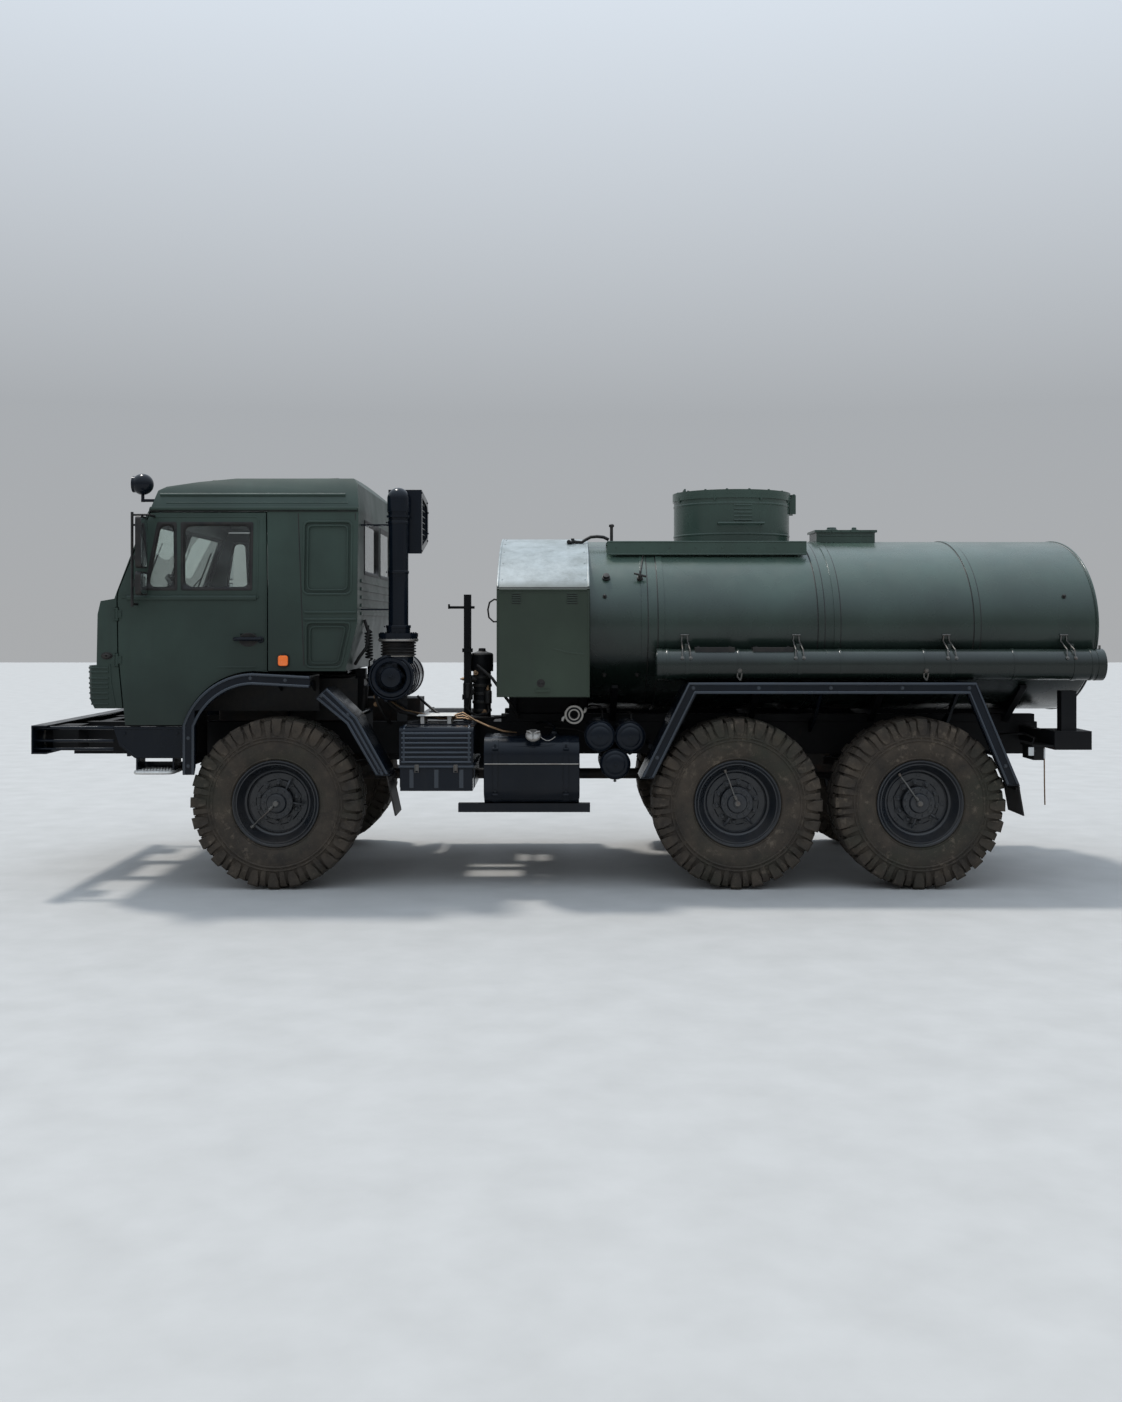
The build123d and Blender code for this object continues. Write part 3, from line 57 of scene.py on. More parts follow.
class Graph:
    """A node material with short ways to add nodes."""

    def __init__(self, name):
        self.mat = bpy.data.materials.new(name)
        self.mat.use_nodes = True
        self.tree = self.mat.node_tree
        self.tree.nodes.clear()
        out = self.node("ShaderNodeOutputMaterial")
        self.bsdf = self.node("ShaderNodeBsdfPrincipled")
        self.tree.links.new(self.bsdf.outputs["BSDF"], out.inputs["Surface"])
        self.coord = self.node("ShaderNodeTexCoord").outputs["Object"]
        split = self.node("ShaderNodeSeparateXYZ")
        self.tree.links.new(self.coord, split.inputs[0])
        self.height = split.outputs["Z"]

    def node(self, kind):
        return self.tree.nodes.new(kind)

    def put(self, socket, value):
        if isinstance(value, bpy.types.NodeSocket):
            self.tree.links.new(value, socket)
        elif isinstance(value, (tuple, list)) and len(value) == 3 and len(socket.default_value) == 4:
            socket.default_value = (*value, 1)
        else:
            socket.default_value = value

    def math(self, operation, a, b, clamp):
        node = self.node("ShaderNodeMath")
        node.operation = operation
        node.use_clamp = clamp
        self.put(node.inputs[0], a)
        self.put(node.inputs[1], b)
        return node.outputs[0]

    def times(self, a, b, clamp=False):
        return self.math("MULTIPLY", a, b, clamp)

    def plus(self, a, b, clamp=False):
        return self.math("ADD", a, b, clamp)

    def noise(self, scale, detail=3.0, rough=0.55, stretch=(1, 1, 1)):
        mapping = self.node("ShaderNodeMapping")
        self.tree.links.new(self.coord, mapping.inputs["Vector"])
        mapping.inputs["Scale"].default_value = stretch
        node = self.node("ShaderNodeTexNoise")
        self.tree.links.new(mapping.outputs[0], node.inputs["Vector"])
        node.inputs["Scale"].default_value = scale
        node.inputs["Detail"].default_value = detail
        node.inputs["Roughness"].default_value = rough
        return node.outputs["Fac"]

    def span(self, value, low, high, start=0.0, end=1.0):
        """value mapped from low..high to start..end, clamped."""
        node = self.node("ShaderNodeMapRange")
        self.put(node.inputs["Value"], value)
        node.inputs["From Min"].default_value = low
        node.inputs["From Max"].default_value = high
        node.inputs["To Min"].default_value = start
        node.inputs["To Max"].default_value = end
        return node.outputs["Result"]

    def mix(self, factor, a, b):
        node = self.node("ShaderNodeMix")
        node.data_type = "RGBA"
        self.put(node.inputs[0], factor)
        self.put(node.inputs[6], a)
        self.put(node.inputs[7], b)
        return node.outputs[2]

    def bump(self, height, distance, before=None):
        node = self.node("ShaderNodeBump")
        node.inputs["Strength"].default_value = 1.0
        node.inputs["Distance"].default_value = distance
        self.put(node.inputs["Height"], height)
        if before is not None:
            self.put(node.inputs["Normal"], before)
        return node.outputs["Normal"]

    def facing_up(self):
        """1 on faces that look up, 0 on walls."""
        split = self.node("ShaderNodeSeparateXYZ")
        geometry = self.node("ShaderNodeNewGeometry")
        self.tree.links.new(geometry.outputs["Normal"], split.inputs[0])
        return self.span(split.outputs["Z"], 0.35, 0.95)

    def finish(self, **inputs):
        for name, value in inputs.items():
            self.put(self.bsdf.inputs[name.replace("_", " ")], value)
        return self.mat


DUST = (0.155, 0.125, 0.095)
MUD = (0.085, 0.066, 0.048)
RUST = (0.12, 0.045, 0.018)
# light bare metal of the worn cabinet top, which also stands as a painted highlight
BARE_METAL_AND_SHEEN = (0.4, 0.44, 0.45)


def shade(color, share, lift=0.0):
    """A colour made darker or lighter."""
    return tuple(c * share + lift for c in color)


def painted(name, color, rough, dust, top_dust, dust_height, wave, level, rust=0.0, grime_and_shade=None, wear_and_sheen=None):
    """Sprayed sheet metal: uneven tone, rain streaks, road dust low down, slight waves and chips.

    dust and top_dust are the shares of dust low down and on top, and dust_height is where the low dust ends.
    wave is the depth of the waves, and level is the strength of the reflection.
    Painted shade darkens by height (low, high, darkest); the top is worn with a painted highlight (low,
    high, share).
    """
    g = Graph(name)
    tone = g.mix(g.span(g.noise(1.3, 4), 0.35, 0.65), shade(color, 0.78), shade(color, 1.16))
    streak = g.span(g.noise(9, 4, 0.6, (1, 1, 0.09)), 0.52, 0.72, 0, 0.35)
    tone = g.mix(streak, tone, shade(color, 0.62, 0.008))
    low = g.span(g.height, 0.35, dust_height, 1, 0)
    low = g.times(low, g.span(g.noise(5, 6, 0.65), 0.25, 0.7))
    top = g.times(g.facing_up(), g.span(g.noise(7, 5, 0.6), 0.3, 0.75))
    cover = g.plus(g.times(low, dust), g.times(top, top_dust), clamp=True)
    cover = g.times(cover, g.span(g.noise(60, 3), 0.3, 0.7, 0.75, 1), clamp=True)
    tone = g.mix(cover, tone, DUST)
    chips = g.times(g.span(g.noise(38, 5, 0.7), 0.68, 0.71), g.span(g.noise(3, 2), 0.5, 0.6))
    tone = g.mix(g.times(chips, 0.6), tone, shade(color, 0.35))
    if rust:
        tone = g.mix(g.times(g.span(g.noise(11, 6, 0.7), 0.62, 0.74), rust), tone, RUST)
    # painted shade: the colour darkens towards the bottom of the height range
    if grime_and_shade:
        low, high, darkest = grime_and_shade
        wander = g.plus(g.height, g.span(g.noise(1.6, 4), 0.3, 0.7, -0.12, 0.12))
        tone = g.mix(g.span(wander, low, high, 1.0 - darkest, 0.0), tone, shade(color, 0.12))
    # worn paint on the top, lightened towards bare metal, partly as a painted highlight
    if wear_and_sheen:
        low, high, share = wear_and_sheen
        rubbed_and_sheen = g.times(g.span(g.height, low, high), g.span(g.noise(5, 7, 0.75), 0.36, 0.62, 0.55, 1.0))
        tone = g.mix(g.times(rubbed_and_sheen, share), tone, BARE_METAL_AND_SHEEN)
    shine = g.span(g.noise(4, 4), 0.3, 0.7, rough - 0.05, rough + 0.07)
    shine = g.plus(shine, g.times(cover, 0.35), clamp=True)
    normal = g.bump(g.noise(2.4, 2), wave)
    normal = g.bump(g.noise(260, 2), 0.00008, normal)
    return g.finish(Base_Color=tone, Roughness=shine, Normal=normal, Specular_IOR_Level=level)


def tyre_rubber():
    """Worn tyre: brown-grey dust on the sides, darker blocks, fine cracks."""
    g = Graph("tyre_rubber")
    dusty = g.span(g.noise(6, 6, 0.65), 0.28, 0.72)
    tone = g.mix(dusty, (0.02, 0.0165, 0.0135), (0.07, 0.055, 0.041))
    patch = g.span(g.noise(2.2, 3), 0.5, 0.68, 0, 0.7)
    tone = g.mix(patch, tone, (0.03, 0.031, 0.022))
    specks = g.span(g.noise(90, 3), 0.62, 0.7, 0, 0.5)
    tone = g.mix(g.times(specks, 0.4), tone, DUST)
    scuffs = g.times(g.span(g.noise(19, 6, 0.7), 0.55, 0.66), g.span(g.noise(3, 3), 0.4, 0.6))
    tone = g.mix(g.times(scuffs, 0.55), tone, (0.15, 0.12, 0.09))
    normal = g.bump(g.noise(34, 6, 0.7), 0.003)
    normal = g.bump(g.noise(210, 3), 0.0005, normal)
    return g.finish(Base_Color=tone, Roughness=g.span(dusty, 0, 1, 0.72, 0.95), Normal=normal,
        Specular_IOR_Level=0.3)


def soft_rubber(name, color=(0.006, 0.006, 0.0065), dust=0.14):
    """Seals, flaps, hoses and cables."""
    g = Graph(name)
    cover = g.times(g.span(g.noise(12, 5), 0.35, 0.75), dust)
    tone = g.mix(cover, color, DUST)
    return g.finish(Base_Color=tone, Roughness=g.span(cover, 0, 0.5, 0.5, 0.85),
        Normal=g.bump(g.noise(150, 3), 0.0003), Specular_IOR_Level=0.35)


def rough_metal(name, color, rough, rust, dust):
    """Castings, springs and shafts with rust and caked dust."""
    g = Graph(name)
    spots = g.times(g.span(g.noise(9, 6, 0.7), 0.5, 0.72), rust)
    tone = g.mix(spots, color, RUST)
    cake = g.times(g.span(g.noise(5, 6, 0.6), 0.35, 0.7), dust)
    tone = g.mix(cake, tone, MUD)
    normal = g.bump(g.noise(70, 5, 0.7), 0.001)
    return g.finish(Base_Color=tone, Roughness=g.span(cake, 0, 1, rough, 0.95), Normal=normal,
        Specular_IOR_Level=0.3)


def tinted_glass():
    """Window glass with a thin film of dust."""
    g = Graph("window_glass")
    film = g.span(g.noise(5, 5, 0.6), 0.45, 0.85, 0.0, 0.06)
    return g.finish(Base_Color=g.mix(film, (0.7, 0.76, 0.73), DUST),
        Roughness=g.span(film, 0, 0.06, 0.0, 0.05), IOR=1.45,
        Transmission_Weight=g.span(film, 0, 0.06, 1.0, 0.95))


def lamp_glass(name, color, glow=0.0):
    """Ribbed lamp lens."""
    g = Graph(name)
    wave = g.node("ShaderNodeTexWave")
    g.tree.links.new(g.coord, wave.inputs["Vector"])
    wave.inputs["Scale"].default_value = 60
    grime_and_shade = g.span(g.noise(14, 4), 0.4, 0.8, 0, 0.35)
    return g.finish(Base_Color=g.mix(grime_and_shade, color, MUD), Roughness=g.span(grime_and_shade, 0, 0.35, 0.12, 0.5),
        Coat_Weight=0.6, Normal=g.bump(wave.outputs["Fac"], 0.0006), Emission_Color=color,
        Emission_Strength=glow)


def mirror_glass():
    """Mirror with dust at its edges."""
    g = Graph("mirror_glass")
    film = g.span(g.noise(9, 4), 0.45, 0.8, 0, 0.3)
    return g.finish(Base_Color=g.mix(film, (0.75, 0.78, 0.8), DUST), Metallic=1.0,
        Roughness=g.span(film, 0, 0.3, 0.04, 0.3))


def worn_steel(name, color=(0.36, 0.34, 0.31), rough=0.42, rust=0.3):
    """Bare steel, scratched, with rust spots."""
    g = Graph(name)
    grain = g.noise(40, 4, 0.6, (1, 6, 6))
    tone = g.mix(g.span(grain, 0.3, 0.7), shade(color, 0.7), color)
    tone = g.mix(g.times(g.span(g.noise(13, 6, 0.7), 0.5, 0.7), rust), tone, RUST)
    return g.finish(Base_Color=tone, Metallic=0.85, Roughness=g.span(grain, 0.3, 0.7, rough - 0.08,
        rough + 0.12), Normal=g.bump(grain, 0.0003))


def weave(name, color):
    """Coarse seat cloth."""
    g = Graph(name)
    threads = g.noise(420, 2, 0.5)
    fold = g.noise(9, 3)
    tone = g.mix(g.span(threads, 0.35, 0.65), shade(color, 0.6), color)
    normal = g.bump(fold, 0.004)
    return g.finish(Base_Color=tone, Roughness=0.9, Sheen_Weight=0.3, Normal=g.bump(threads, 0.0008, normal))


def moulded(name, color):
    """Grained plastic."""
    g = Graph(name)
    grain = g.noise(300, 3, 0.6)
    cover = g.span(g.noise(8, 4), 0.45, 0.8, 0, 0.25)
    return g.finish(Base_Color=g.mix(cover, color, DUST), Roughness=0.6, Normal=g.bump(grain, 0.0004))


CAB_GREEN = (0.034, 0.055, 0.044)
TANK_GREEN = (0.036, 0.064, 0.05)

mats = {
    # painted shade darkens the cab and tank paints towards the bottom
    "cab": painted("cab_paint", CAB_GREEN, 0.42, dust=0.22, top_dust=0.12, dust_height=1.4, wave=0.0016,
        level=0.27, grime_and_shade=(1.1, 2.5, 0.4)),
    "tank": painted("tank_paint", TANK_GREEN, 0.25, dust=0.08, top_dust=0.12, dust_height=1.5, wave=0.0022,
        level=0.45, grime_and_shade=(1.62, 2.32, 0.05)),
    # the cabinet's top is worn and carries a painted highlight
    "cabinet": painted("cabinet_paint", (0.03, 0.044, 0.03), 0.36, dust=0.12, top_dust=0.05, dust_height=1.4,
        wave=0.0028, level=0.3, wear_and_sheen=(2.17, 2.24, 0.75)),
    "gloss_black": painted("gloss_black", (0.0035, 0.006, 0.0105), 0.2, dust=0.07, top_dust=0.04,
        dust_height=1.0, wave=0.001, level=0.2),
    # a lighter, bluer copy of the gloss black: a painted highlight on rolled edges and ribs
    "edge": painted("rolled_edge_highlight", (0.01, 0.0175, 0.028), 0.22, dust=0.1, top_dust=0.05, dust_height=1.1,
        wave=0.0005, level=0.6),
    "frame": painted("frame_paint", (0.005, 0.0055, 0.0065), 0.5, dust=0.14, top_dust=0.1, dust_height=1.3,
        wave=0.0004, rust=0.12, level=0.14),
    "rim": painted("rim_paint", (0.008, 0.0115, 0.0165), 0.27, dust=0.16, top_dust=0.1, dust_height=1.3,
        wave=0.0003, level=0.5),
    "feed": worn_steel("feed_steel", (0.16, 0.155, 0.145), 0.5, 0.4),
    "tyre": tyre_rubber(),
    "rubber": soft_rubber("seal_rubber"),
    "cable": soft_rubber("cable_sheath", (0.009, 0.009, 0.01), 0.12),
    "cast": rough_metal("cast_metal", (0.012, 0.012, 0.0125), 0.6, 0.25, 0.35),
    "leaf": rough_metal("leaf_steel", (0.014, 0.013, 0.012), 0.55, 0.35, 0.45),
    "glass": tinted_glass(),
    "amber": lamp_glass("amber_lens", (0.75, 0.14, 0.01), 0.25),
    "red": lamp_glass("red_lens", (0.35, 0.012, 0.01)),
    "clear": lamp_glass("clear_lens", (0.55, 0.56, 0.56)),
    "mirror": mirror_glass(),
    "steel": worn_steel("worn_steel"),
    "step": worn_steel("step_steel", (0.74, 0.73, 0.7), 0.55, 0.12),
    "seat": weave("seat_cloth", (0.02, 0.02, 0.022)),
    "dash": moulded("dash_plastic", (0.011, 0.011, 0.012)),
    "copper": worn_steel("pipe_metal", (0.34, 0.22, 0.13), 0.4, 0.2),
}


# Mesh tools

# how deep the window panes lie in their panels
PANE_DEPTH = 0.016


class Piece:
    """One mesh made of several simple forms, in the truck's own frame."""

    def __init__(self, name, material, body="chassis", bevel=0.0):
        self.name = name
        self.material = material
        self.body = body
        self.bevel = bevel
        self.bm = bmesh.new()

    def block(self, low, high):
        """A box between two corners."""
        xs, ys, zs = zip(low, high)
        v = [self.bm.verts.new((x, y, z)) for x in xs for y in ys for z in zs]
        for a, b, c, d in ((0, 1, 3, 2), (4, 6, 7, 5), (0, 4, 5, 1), (2, 3, 7, 6),
                (0, 2, 6, 4), (1, 5, 7, 3)):
            self.bm.faces.new((v[a], v[b], v[c], v[d]))
        return self

    def side_block(self, sign, x, y, z):
        """A box by its ranges in x, y and z, on one side of the truck."""
        near, far = sorted((sign * y[0], sign * y[1]))
        return self.block((x[0], near, z[0]), (x[1], far, z[1]))

    def lathe(self, centre, axis, profile, steps=48, closed=False):
        """A turned form: profile is (distance along axis, radius) pairs."""
        axis = Vector(axis).normalized()
        side = axis.orthogonal().normalized()
        other = axis.cross(side)
        centre = Vector(centre)
        rings = []
        for along, radius in profile:
            place = centre + axis * along
            spread = around(steps) if radius > 1e-6 else [(0, 0)]
            rings.append([self.bm.verts.new(place + (side * c + other * s) * radius) for c, s in spread])
        for a, b in list(zip(rings, rings[1:])) + ([(rings[-1], rings[0])] if closed else []):
            if len(a) == len(b) == 1:
                continue
            for i in range(steps):
                j = (i + 1) % steps
                corners = [a[0]] if len(a) == 1 else [a[i], a[j]]
                self.bm.faces.new(corners + ([b[0]] if len(b) == 1 else [b[j], b[i]]))
        return self

    def rod(self, start, end, radius, steps=20):
        """A capped round bar with slightly broken edges."""
        start, end = Vector(start), Vector(end)
        length = (end - start).length
        edge = radius * 0.12
        return self.lathe(start, end - start, [(0, 0), (0, radius - edge), (edge, radius),
            (length - edge, radius), (length, radius - edge), (length, 0)], steps)

    def bolt(self, place, normal, radius=0.012, height=0.01):
        """A bolt head with its washer."""
        rim, seat, top = radius * 1.5, height * 0.25, height * 0.9
        self.lathe(place, normal, [(0, 0), (0, rim), (seat, rim), (seat, 0)], 12)
        return self.lathe(place, normal, [(height * 0.2, 0), (height * 0.2, radius), (top, radius),
            (height, radius * 0.8), (height, 0)], 6)

    def tube(self, points, radius, steps=10):
        """A round section carried along a line of points, with capped ends."""
        points = [Vector(p) for p in points]
        rings = []
        up = None
        for i, p in enumerate(points):
            ahead, behind = points[min(i + 1, len(points) - 1)], points[max(i - 1, 0)]
            tangent = (ahead - behind).normalized()
            if up is None:
                up = tangent.orthogonal().normalized()
            up = (up - tangent * up.dot(tangent)).normalized()
            side = tangent.cross(up)
            rings.append([p + (up * c + side * s) * radius for c, s in around(steps)])
        return self.strip(rings, capped=True)

    def bead(self, points, normal, width, height, closed=False, sink=0.002):
        """A raised strip with rounded shoulders; normal points off the surface, one for all or a list."""
        points = [Vector(p) for p in points]
        count = len(points)
        normals = normal if isinstance(normal, list) else [normal] * count
        shape = ((-0.5, -1), (-0.5, 0.5), (-0.38, 0.85), (-0.16, 1), (0.16, 1), (0.38, 0.85),
            (0.5, 0.5), (0.5, -1))
        rings = []
        for i, p in enumerate(points):
            ahead = points[(i + 1) % count] if closed else points[min(i + 1, count - 1)]
            behind = points[i - 1] if closed else points[max(i - 1, 0)]
            off = Vector(normals[i]).normalized()
            side = (ahead - behind).normalized().cross(off).normalized()
            rings.append([p + side * (u * width) + off * (height * v if v > 0 else -sink) for u, v in shape])
        return self.strip(rings, closed, not closed)

    def strip(self, rows, closed=False, capped=False):
        """Joins closed rows of points that have the same count, one after the other."""
        rings = [[self.bm.verts.new(p) for p in row] for row in rows]
        size = len(rings[0])
        for a, b in list(zip(rings, rings[1:])) + ([(rings[-1], rings[0])] if closed else []):
            for k in range(size):
                j = (k + 1) % size
                self.bm.faces.new((a[k], a[j], b[j], b[k]))
        if capped:
            self.bm.faces.new(rings[0][::-1])
            self.bm.faces.new(rings[-1])
        return self

    def dome(self, middle, outline, off, rows):
        """An outline about a middle, scaled and raised off the surface: rows are (share, rise)."""
        off = Vector(off)
        return self.strip([[middle + p * share + off * rise for p in outline] for share, rise in rows])

    def form(self):
        """Ends the piece as a mesh with its material."""
        bmesh.ops.recalc_face_normals(self.bm, faces=self.bm.faces)
        mesh = bpy.data.meshes.new(self.name)
        self.bm.to_mesh(mesh)
        self.bm.free()
        mesh.materials.append(mats[self.material])
        return mesh

    def done(self, angle=34):
        """Makes the object, shades it and hangs it on its body."""
        return place_mesh(self.form(), self.name, self.body, self.bevel, angle)


def place_mesh(mesh, name, body, bevel=0.0, angle=34, replaces=()):
    """Links a mesh as an object of one body."""
    obj = bpy.data.objects.new(name, mesh)
    bpy.context.scene.collection.objects.link(obj)
    mesh.shade_smooth()
    mesh.set_sharp_from_angle(angle=radians(angle))
    if bevel:
        soften(obj, bevel)
    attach(obj, body)
    if replaces:
        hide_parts(*replaces)
    return obj


def soften(obj, width):
    """Rounded edges, as a modifier."""
    bevel = obj.modifiers.new("edge", "BEVEL")
    bevel.width = width
    bevel.segments = 2
    bevel.limit_method = "ANGLE"
    bevel.angle_limit = radians(34)
    bevel.harden_normals = True
    bevel.use_clamp_overlap = True


def dress(name, material, bevel):
    """Finish of a carried-over node."""
    obj = nodes[name]
    mesh = obj.data
    if "custom_normal" in mesh.attributes:
        mesh.attributes.remove(mesh.attributes["custom_normal"])
    mesh.materials.clear()
    mesh.materials.append(mats[material])
    mesh.shade_smooth()
    weld = obj.modifiers.new("weld", "WELD")
    weld.merge_threshold = 0.00002
    soften(obj, bevel)


def around(count, start=0.0, shift=0.0):
    """Cosine and sine at equal steps round a circle; start is an angle and shift a share of one step."""
    return [(cos(a), sin(a)) for a in (2 * pi * (k + shift) / count + start for k in range(count))]


def oval(half_x, half_z, count):
    """Points of an upright oval about the origin."""
    return [Vector((half_x * c, 0, half_z * s)) for c, s in around(count)]


def level_line(x0, x1, y, z):
    """A straight line along the truck."""
    return [Vector((x0, y, z)), Vector((x1, y, z))]


def side_points(y, *places):
    """Points of a side view at one distance from the middle, by (x, z)."""
    return [Vector((x, y, z)) for x, z in places]


def rectangle(x0, x1, y, z0, z1):
    """Corners of an upright rectangle in side view."""
    return side_points(y, (x0, z0), (x1, z0), (x1, z1), (x0, z1))


def face_loops(node, outward, share=0.7):
    """Outlines of a node's faces that look outwards, one ordered loop of points each."""
    bm = bmesh.new()
    bm.from_mesh(nodes[node].data)
    bmesh.ops.remove_doubles(bm, verts=bm.verts, dist=0.00005)
    bmesh.ops.recalc_face_normals(bm, faces=bm.faces)
    outward = Vector(outward).normalized()
    chosen = set(f for f in bm.faces if f.normal.dot(outward) > share)
    follow = {}
    for face in chosen:
        for loop in face.loops:
            others = [f for f in loop.edge.link_faces if f is not face]
            if not any(f in chosen for f in others):
                follow.setdefault(loop.vert.index, []).append(loop.link_loop_next.vert.index)
    bm.verts.ensure_lookup_table()
    loops = []
    while follow:
        start = next(iter(follow))
        here, path = start, []
        while here in follow:
            path.append(bm.verts[here].co.copy())
            nexts = follow[here]
            step = nexts.pop()
            if not nexts:
                del follow[here]
            here = step
        if len(path) > 2:
            loops.append(path)
    bm.free()
    return [straighten(path) for path in loops]


def straighten(path):
    """Drops points that lie on a straight run."""
    kept = []
    for i, p in enumerate(path):
        before, after = path[i - 1], path[(i + 1) % len(path)]
        a, b = (p - before), (after - p)
        if a.length < 1e-6 or b.length < 1e-6 or a.normalized().dot(b.normalized()) < 0.9995:
            kept.append(p)
    return kept


def rounded(path, radius, steps=6):
    """The loop with its corners rounded."""
    out = []
    for i, p in enumerate(path):
        before, after = path[i - 1] - p, path[(i + 1) % len(path)] - p
        reach = min(radius, before.length * 0.45, after.length * 0.45)
        a, b = p + before.normalized() * reach, p + after.normalized() * reach
        for k in range(steps + 1):
            t = k / steps
            out.append(a * (1 - t) ** 2 + p * 2 * t * (1 - t) + b * t ** 2)
    return out


def loop_normal(path):
    """Direction square to the plane of a closed loop."""
    total = Vector((0, 0, 0))
    for i in range(1, len(path) - 1):
        total += (path[i] - path[0]).cross(path[i + 1] - path[0])
    return total.normalized()


def inset(path, distance):
    """The loop moved inwards in its own plane."""
    normal = loop_normal(path)
    out = []
    for i, p in enumerate(path):
        a = normal.cross((p - path[i - 1]).normalized())
        b = normal.cross((path[(i + 1) % len(path)] - p).normalized())
        out.append(p + (a + b) / max(0.3, 1 + a.dot(b)) * distance)
    return out


def seal(piece, path, outward, grow, width, corner):
    """A rubber seal from the panel's face down onto a sunk pane; path is the pane's outline."""
    off = loop_normal(path)
    if off.dot(Vector(outward)) < 0:
        off = -off
    # distance inwards, corner radius, height over the pane
    profile = [(-grow, 0.014, PANE_DEPTH - 0.002), (-grow, 0.014, PANE_DEPTH + 0.003),
        (-grow * 0.4, 0.018, PANE_DEPTH + 0.006), (width * 0.3, corner * 0.7, PANE_DEPTH + 0.003),
        (width * 0.6, corner, PANE_DEPTH * 0.5), (width, corner, 0.002), (width, corner, -0.001)]
    outlines = [(rounded(inset(path, step), radius), rise) for step, radius, rise in profile]
    piece.strip([[p + off * rise for p in outline] for outline, rise in outlines])


# Carried-over nodes by material and edge radius
FINISH = {
    ("frame", 0.003): ("chassis_frame", "cross_members", "tank_cradle"),
    ("frame", 0.005): ("lamps", "equipment"),
    ("cast", 0.003): ("tie_rod",),
    ("cast", 0.004): ("knuckle_left", "knuckle_right"),
    ("cast", 0.006): ("axles",),
    ("cast", 0.008): ("driveline", "pump_set"),
    ("cast", 0.02): ("engine",),
    ("leaf", 0.003): ("springs",),
    ("cab", 0.003): ("cab_floor",),
    ("cab", 0.005): ("cab_rear", "cab_sides", "door_left", "door_right"),
    ("cab", 0.007): ("cab_front",),
    ("cab", 0.012): ("cab_roof",),
    ("glass", 0.002): ("cab_glass", "door_glass_left", "door_glass_right"),
    ("rubber", 0.003): ("mudflaps",),
    ("rubber", 0.006): ("mirrors_left", "mirrors_right"),
    ("seat", 0.05): ("seats",),
    ("dash", 0.012): ("dashboard",),
    ("gloss_black", 0.003): ("side_steps",),
    ("gloss_black", 0.004): ("front_bumper", "cab_lamps"),
    ("gloss_black", 0.005): ("fuel_tanks", "mudguards_rear"),
    ("gloss_black", 0.006): ("intake_stack", "air_cleaner", "side_boxes", "mudguards_front"),
    ("gloss_black", 0.008): ("air_receivers",),
    ("tank", 0.002): ("tube_hangers", "tank_top", "manhole_neck"),
    ("tank", 0.004): ("tank", "hose_tubes"),
    ("tank", 0.005): ("manhole_lid",),
    ("cabinet", 0.003): ("pump_cabinet",),
    ("cabinet", 0.004): ("cabinet_flap_left", "cabinet_flap_right"),
}
for (material, bevel), names in FINISH.items():
    for name in names:
        dress(name, material, bevel)

tank_low, tank_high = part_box("tank")
BAND = 0.006
TANK_Z = (tank_low.z + tank_high.z) / 2
TANK_HALF_Y = (tank_high.y - tank_low.y) / 2 - BAND
TANK_HALF_Z = (tank_high.z - tank_low.z) / 2 - BAND


# Wheels

WHEEL_Y = 1.005
TYRE_R = 0.62
PITCHES = 24
TYRE_SIDE = ((0.150, 0.300), (0.158, 0.306), (0.168, 0.316), (0.176, 0.324), (0.181, 0.328), (0.178, 0.334),
    (0.183, 0.346), (0.189, 0.372), (0.194, 0.4), (0.196, 0.43), (0.195, 0.45), (0.202, 0.456),
    (0.202, 0.461), (0.195, 0.467), (0.1945, 0.474), (0.2015, 0.48), (0.2015, 0.485), (0.193, 0.491),
    (0.19, 0.51), (0.186, 0.53), (0.178, 0.562), (0.166, 0.586))
# blocks of one pitch on one half: shift in pitches, then rows of
# distance across, start and end in pitches, depth under the tyre's radius and share of the unevenness
LUGS = (
    (0.0, ((0.01, -0.3, 0.28, 0.002, 0), (0.045, -0.26, 0.34, 0.001, 0), (0.09, -0.14, 0.38, 0.003, 0))),
    (0.5, ((0.02, -0.16, 0.12, 0.003, 0), (0.06, -0.12, 0.2, 0.003, 0), (0.1, -0.04, 0.24, 0.004, 0))),
    (0.0, ((0.104, -0.2, 0.24, 0.001, 0), (0.15, -0.18, 0.3, 0.002, 1), (0.185, -0.17, 0.32, 0.006, 1),
           (0.2, -0.14, 0.3, 0.022, 1), (0.203, -0.08, 0.28, 0.05, 0), (0.198, -0.02, 0.2, 0.074, 0))),
    (0.5, ((0.112, -0.08, 0.22, 0.008, 0), (0.15, -0.04, 0.26, 0.014, 0), (0.178, -0.03, 0.27, 0.022, -1),
           (0.192, -0.02, 0.26, 0.044, -1), (0.2, 0.02, 0.24, 0.072, 0), (0.199, 0.05, 0.2, 0.108, 0))))


def tread_place(angle, along, radius):
    """Point on the tread: angle round the wheel, distance across it, radius."""
    return Vector((radius * sin(angle), along, radius * cos(angle)))


def lug(bm, angle, pitch, sign, odd, rows):
    """A tread block on one half of the tyre, from its rows in LUGS and the unevenness."""
    top, base = [], []
    for across, start, end, depth, share in rows:
        end += share * odd
        for row, grow, sink in ((base, 0.02, 0.05), (top, 0.0, 0.0)):
            radius = TYRE_R - depth - sink
            turns = (angle + (start - grow) * pitch, angle + (end + grow) * pitch)
            row.append([bm.verts.new(tread_place(turn, sign * across, radius)) for turn in turns])
    for i in range(len(rows) - 1):
        bm.faces.new((top[i][0], top[i][1], top[i + 1][1], top[i + 1][0]))
        bm.faces.new((base[i][0], top[i][0], top[i + 1][0], base[i + 1][0]))
        bm.faces.new((top[i][1], base[i][1], base[i + 1][1], top[i + 1][1]))
    bm.faces.new((base[0][0], base[0][1], top[0][1], top[0][0]))
    bm.faces.new((top[-1][0], top[-1][1], base[-1][1], base[-1][0]))


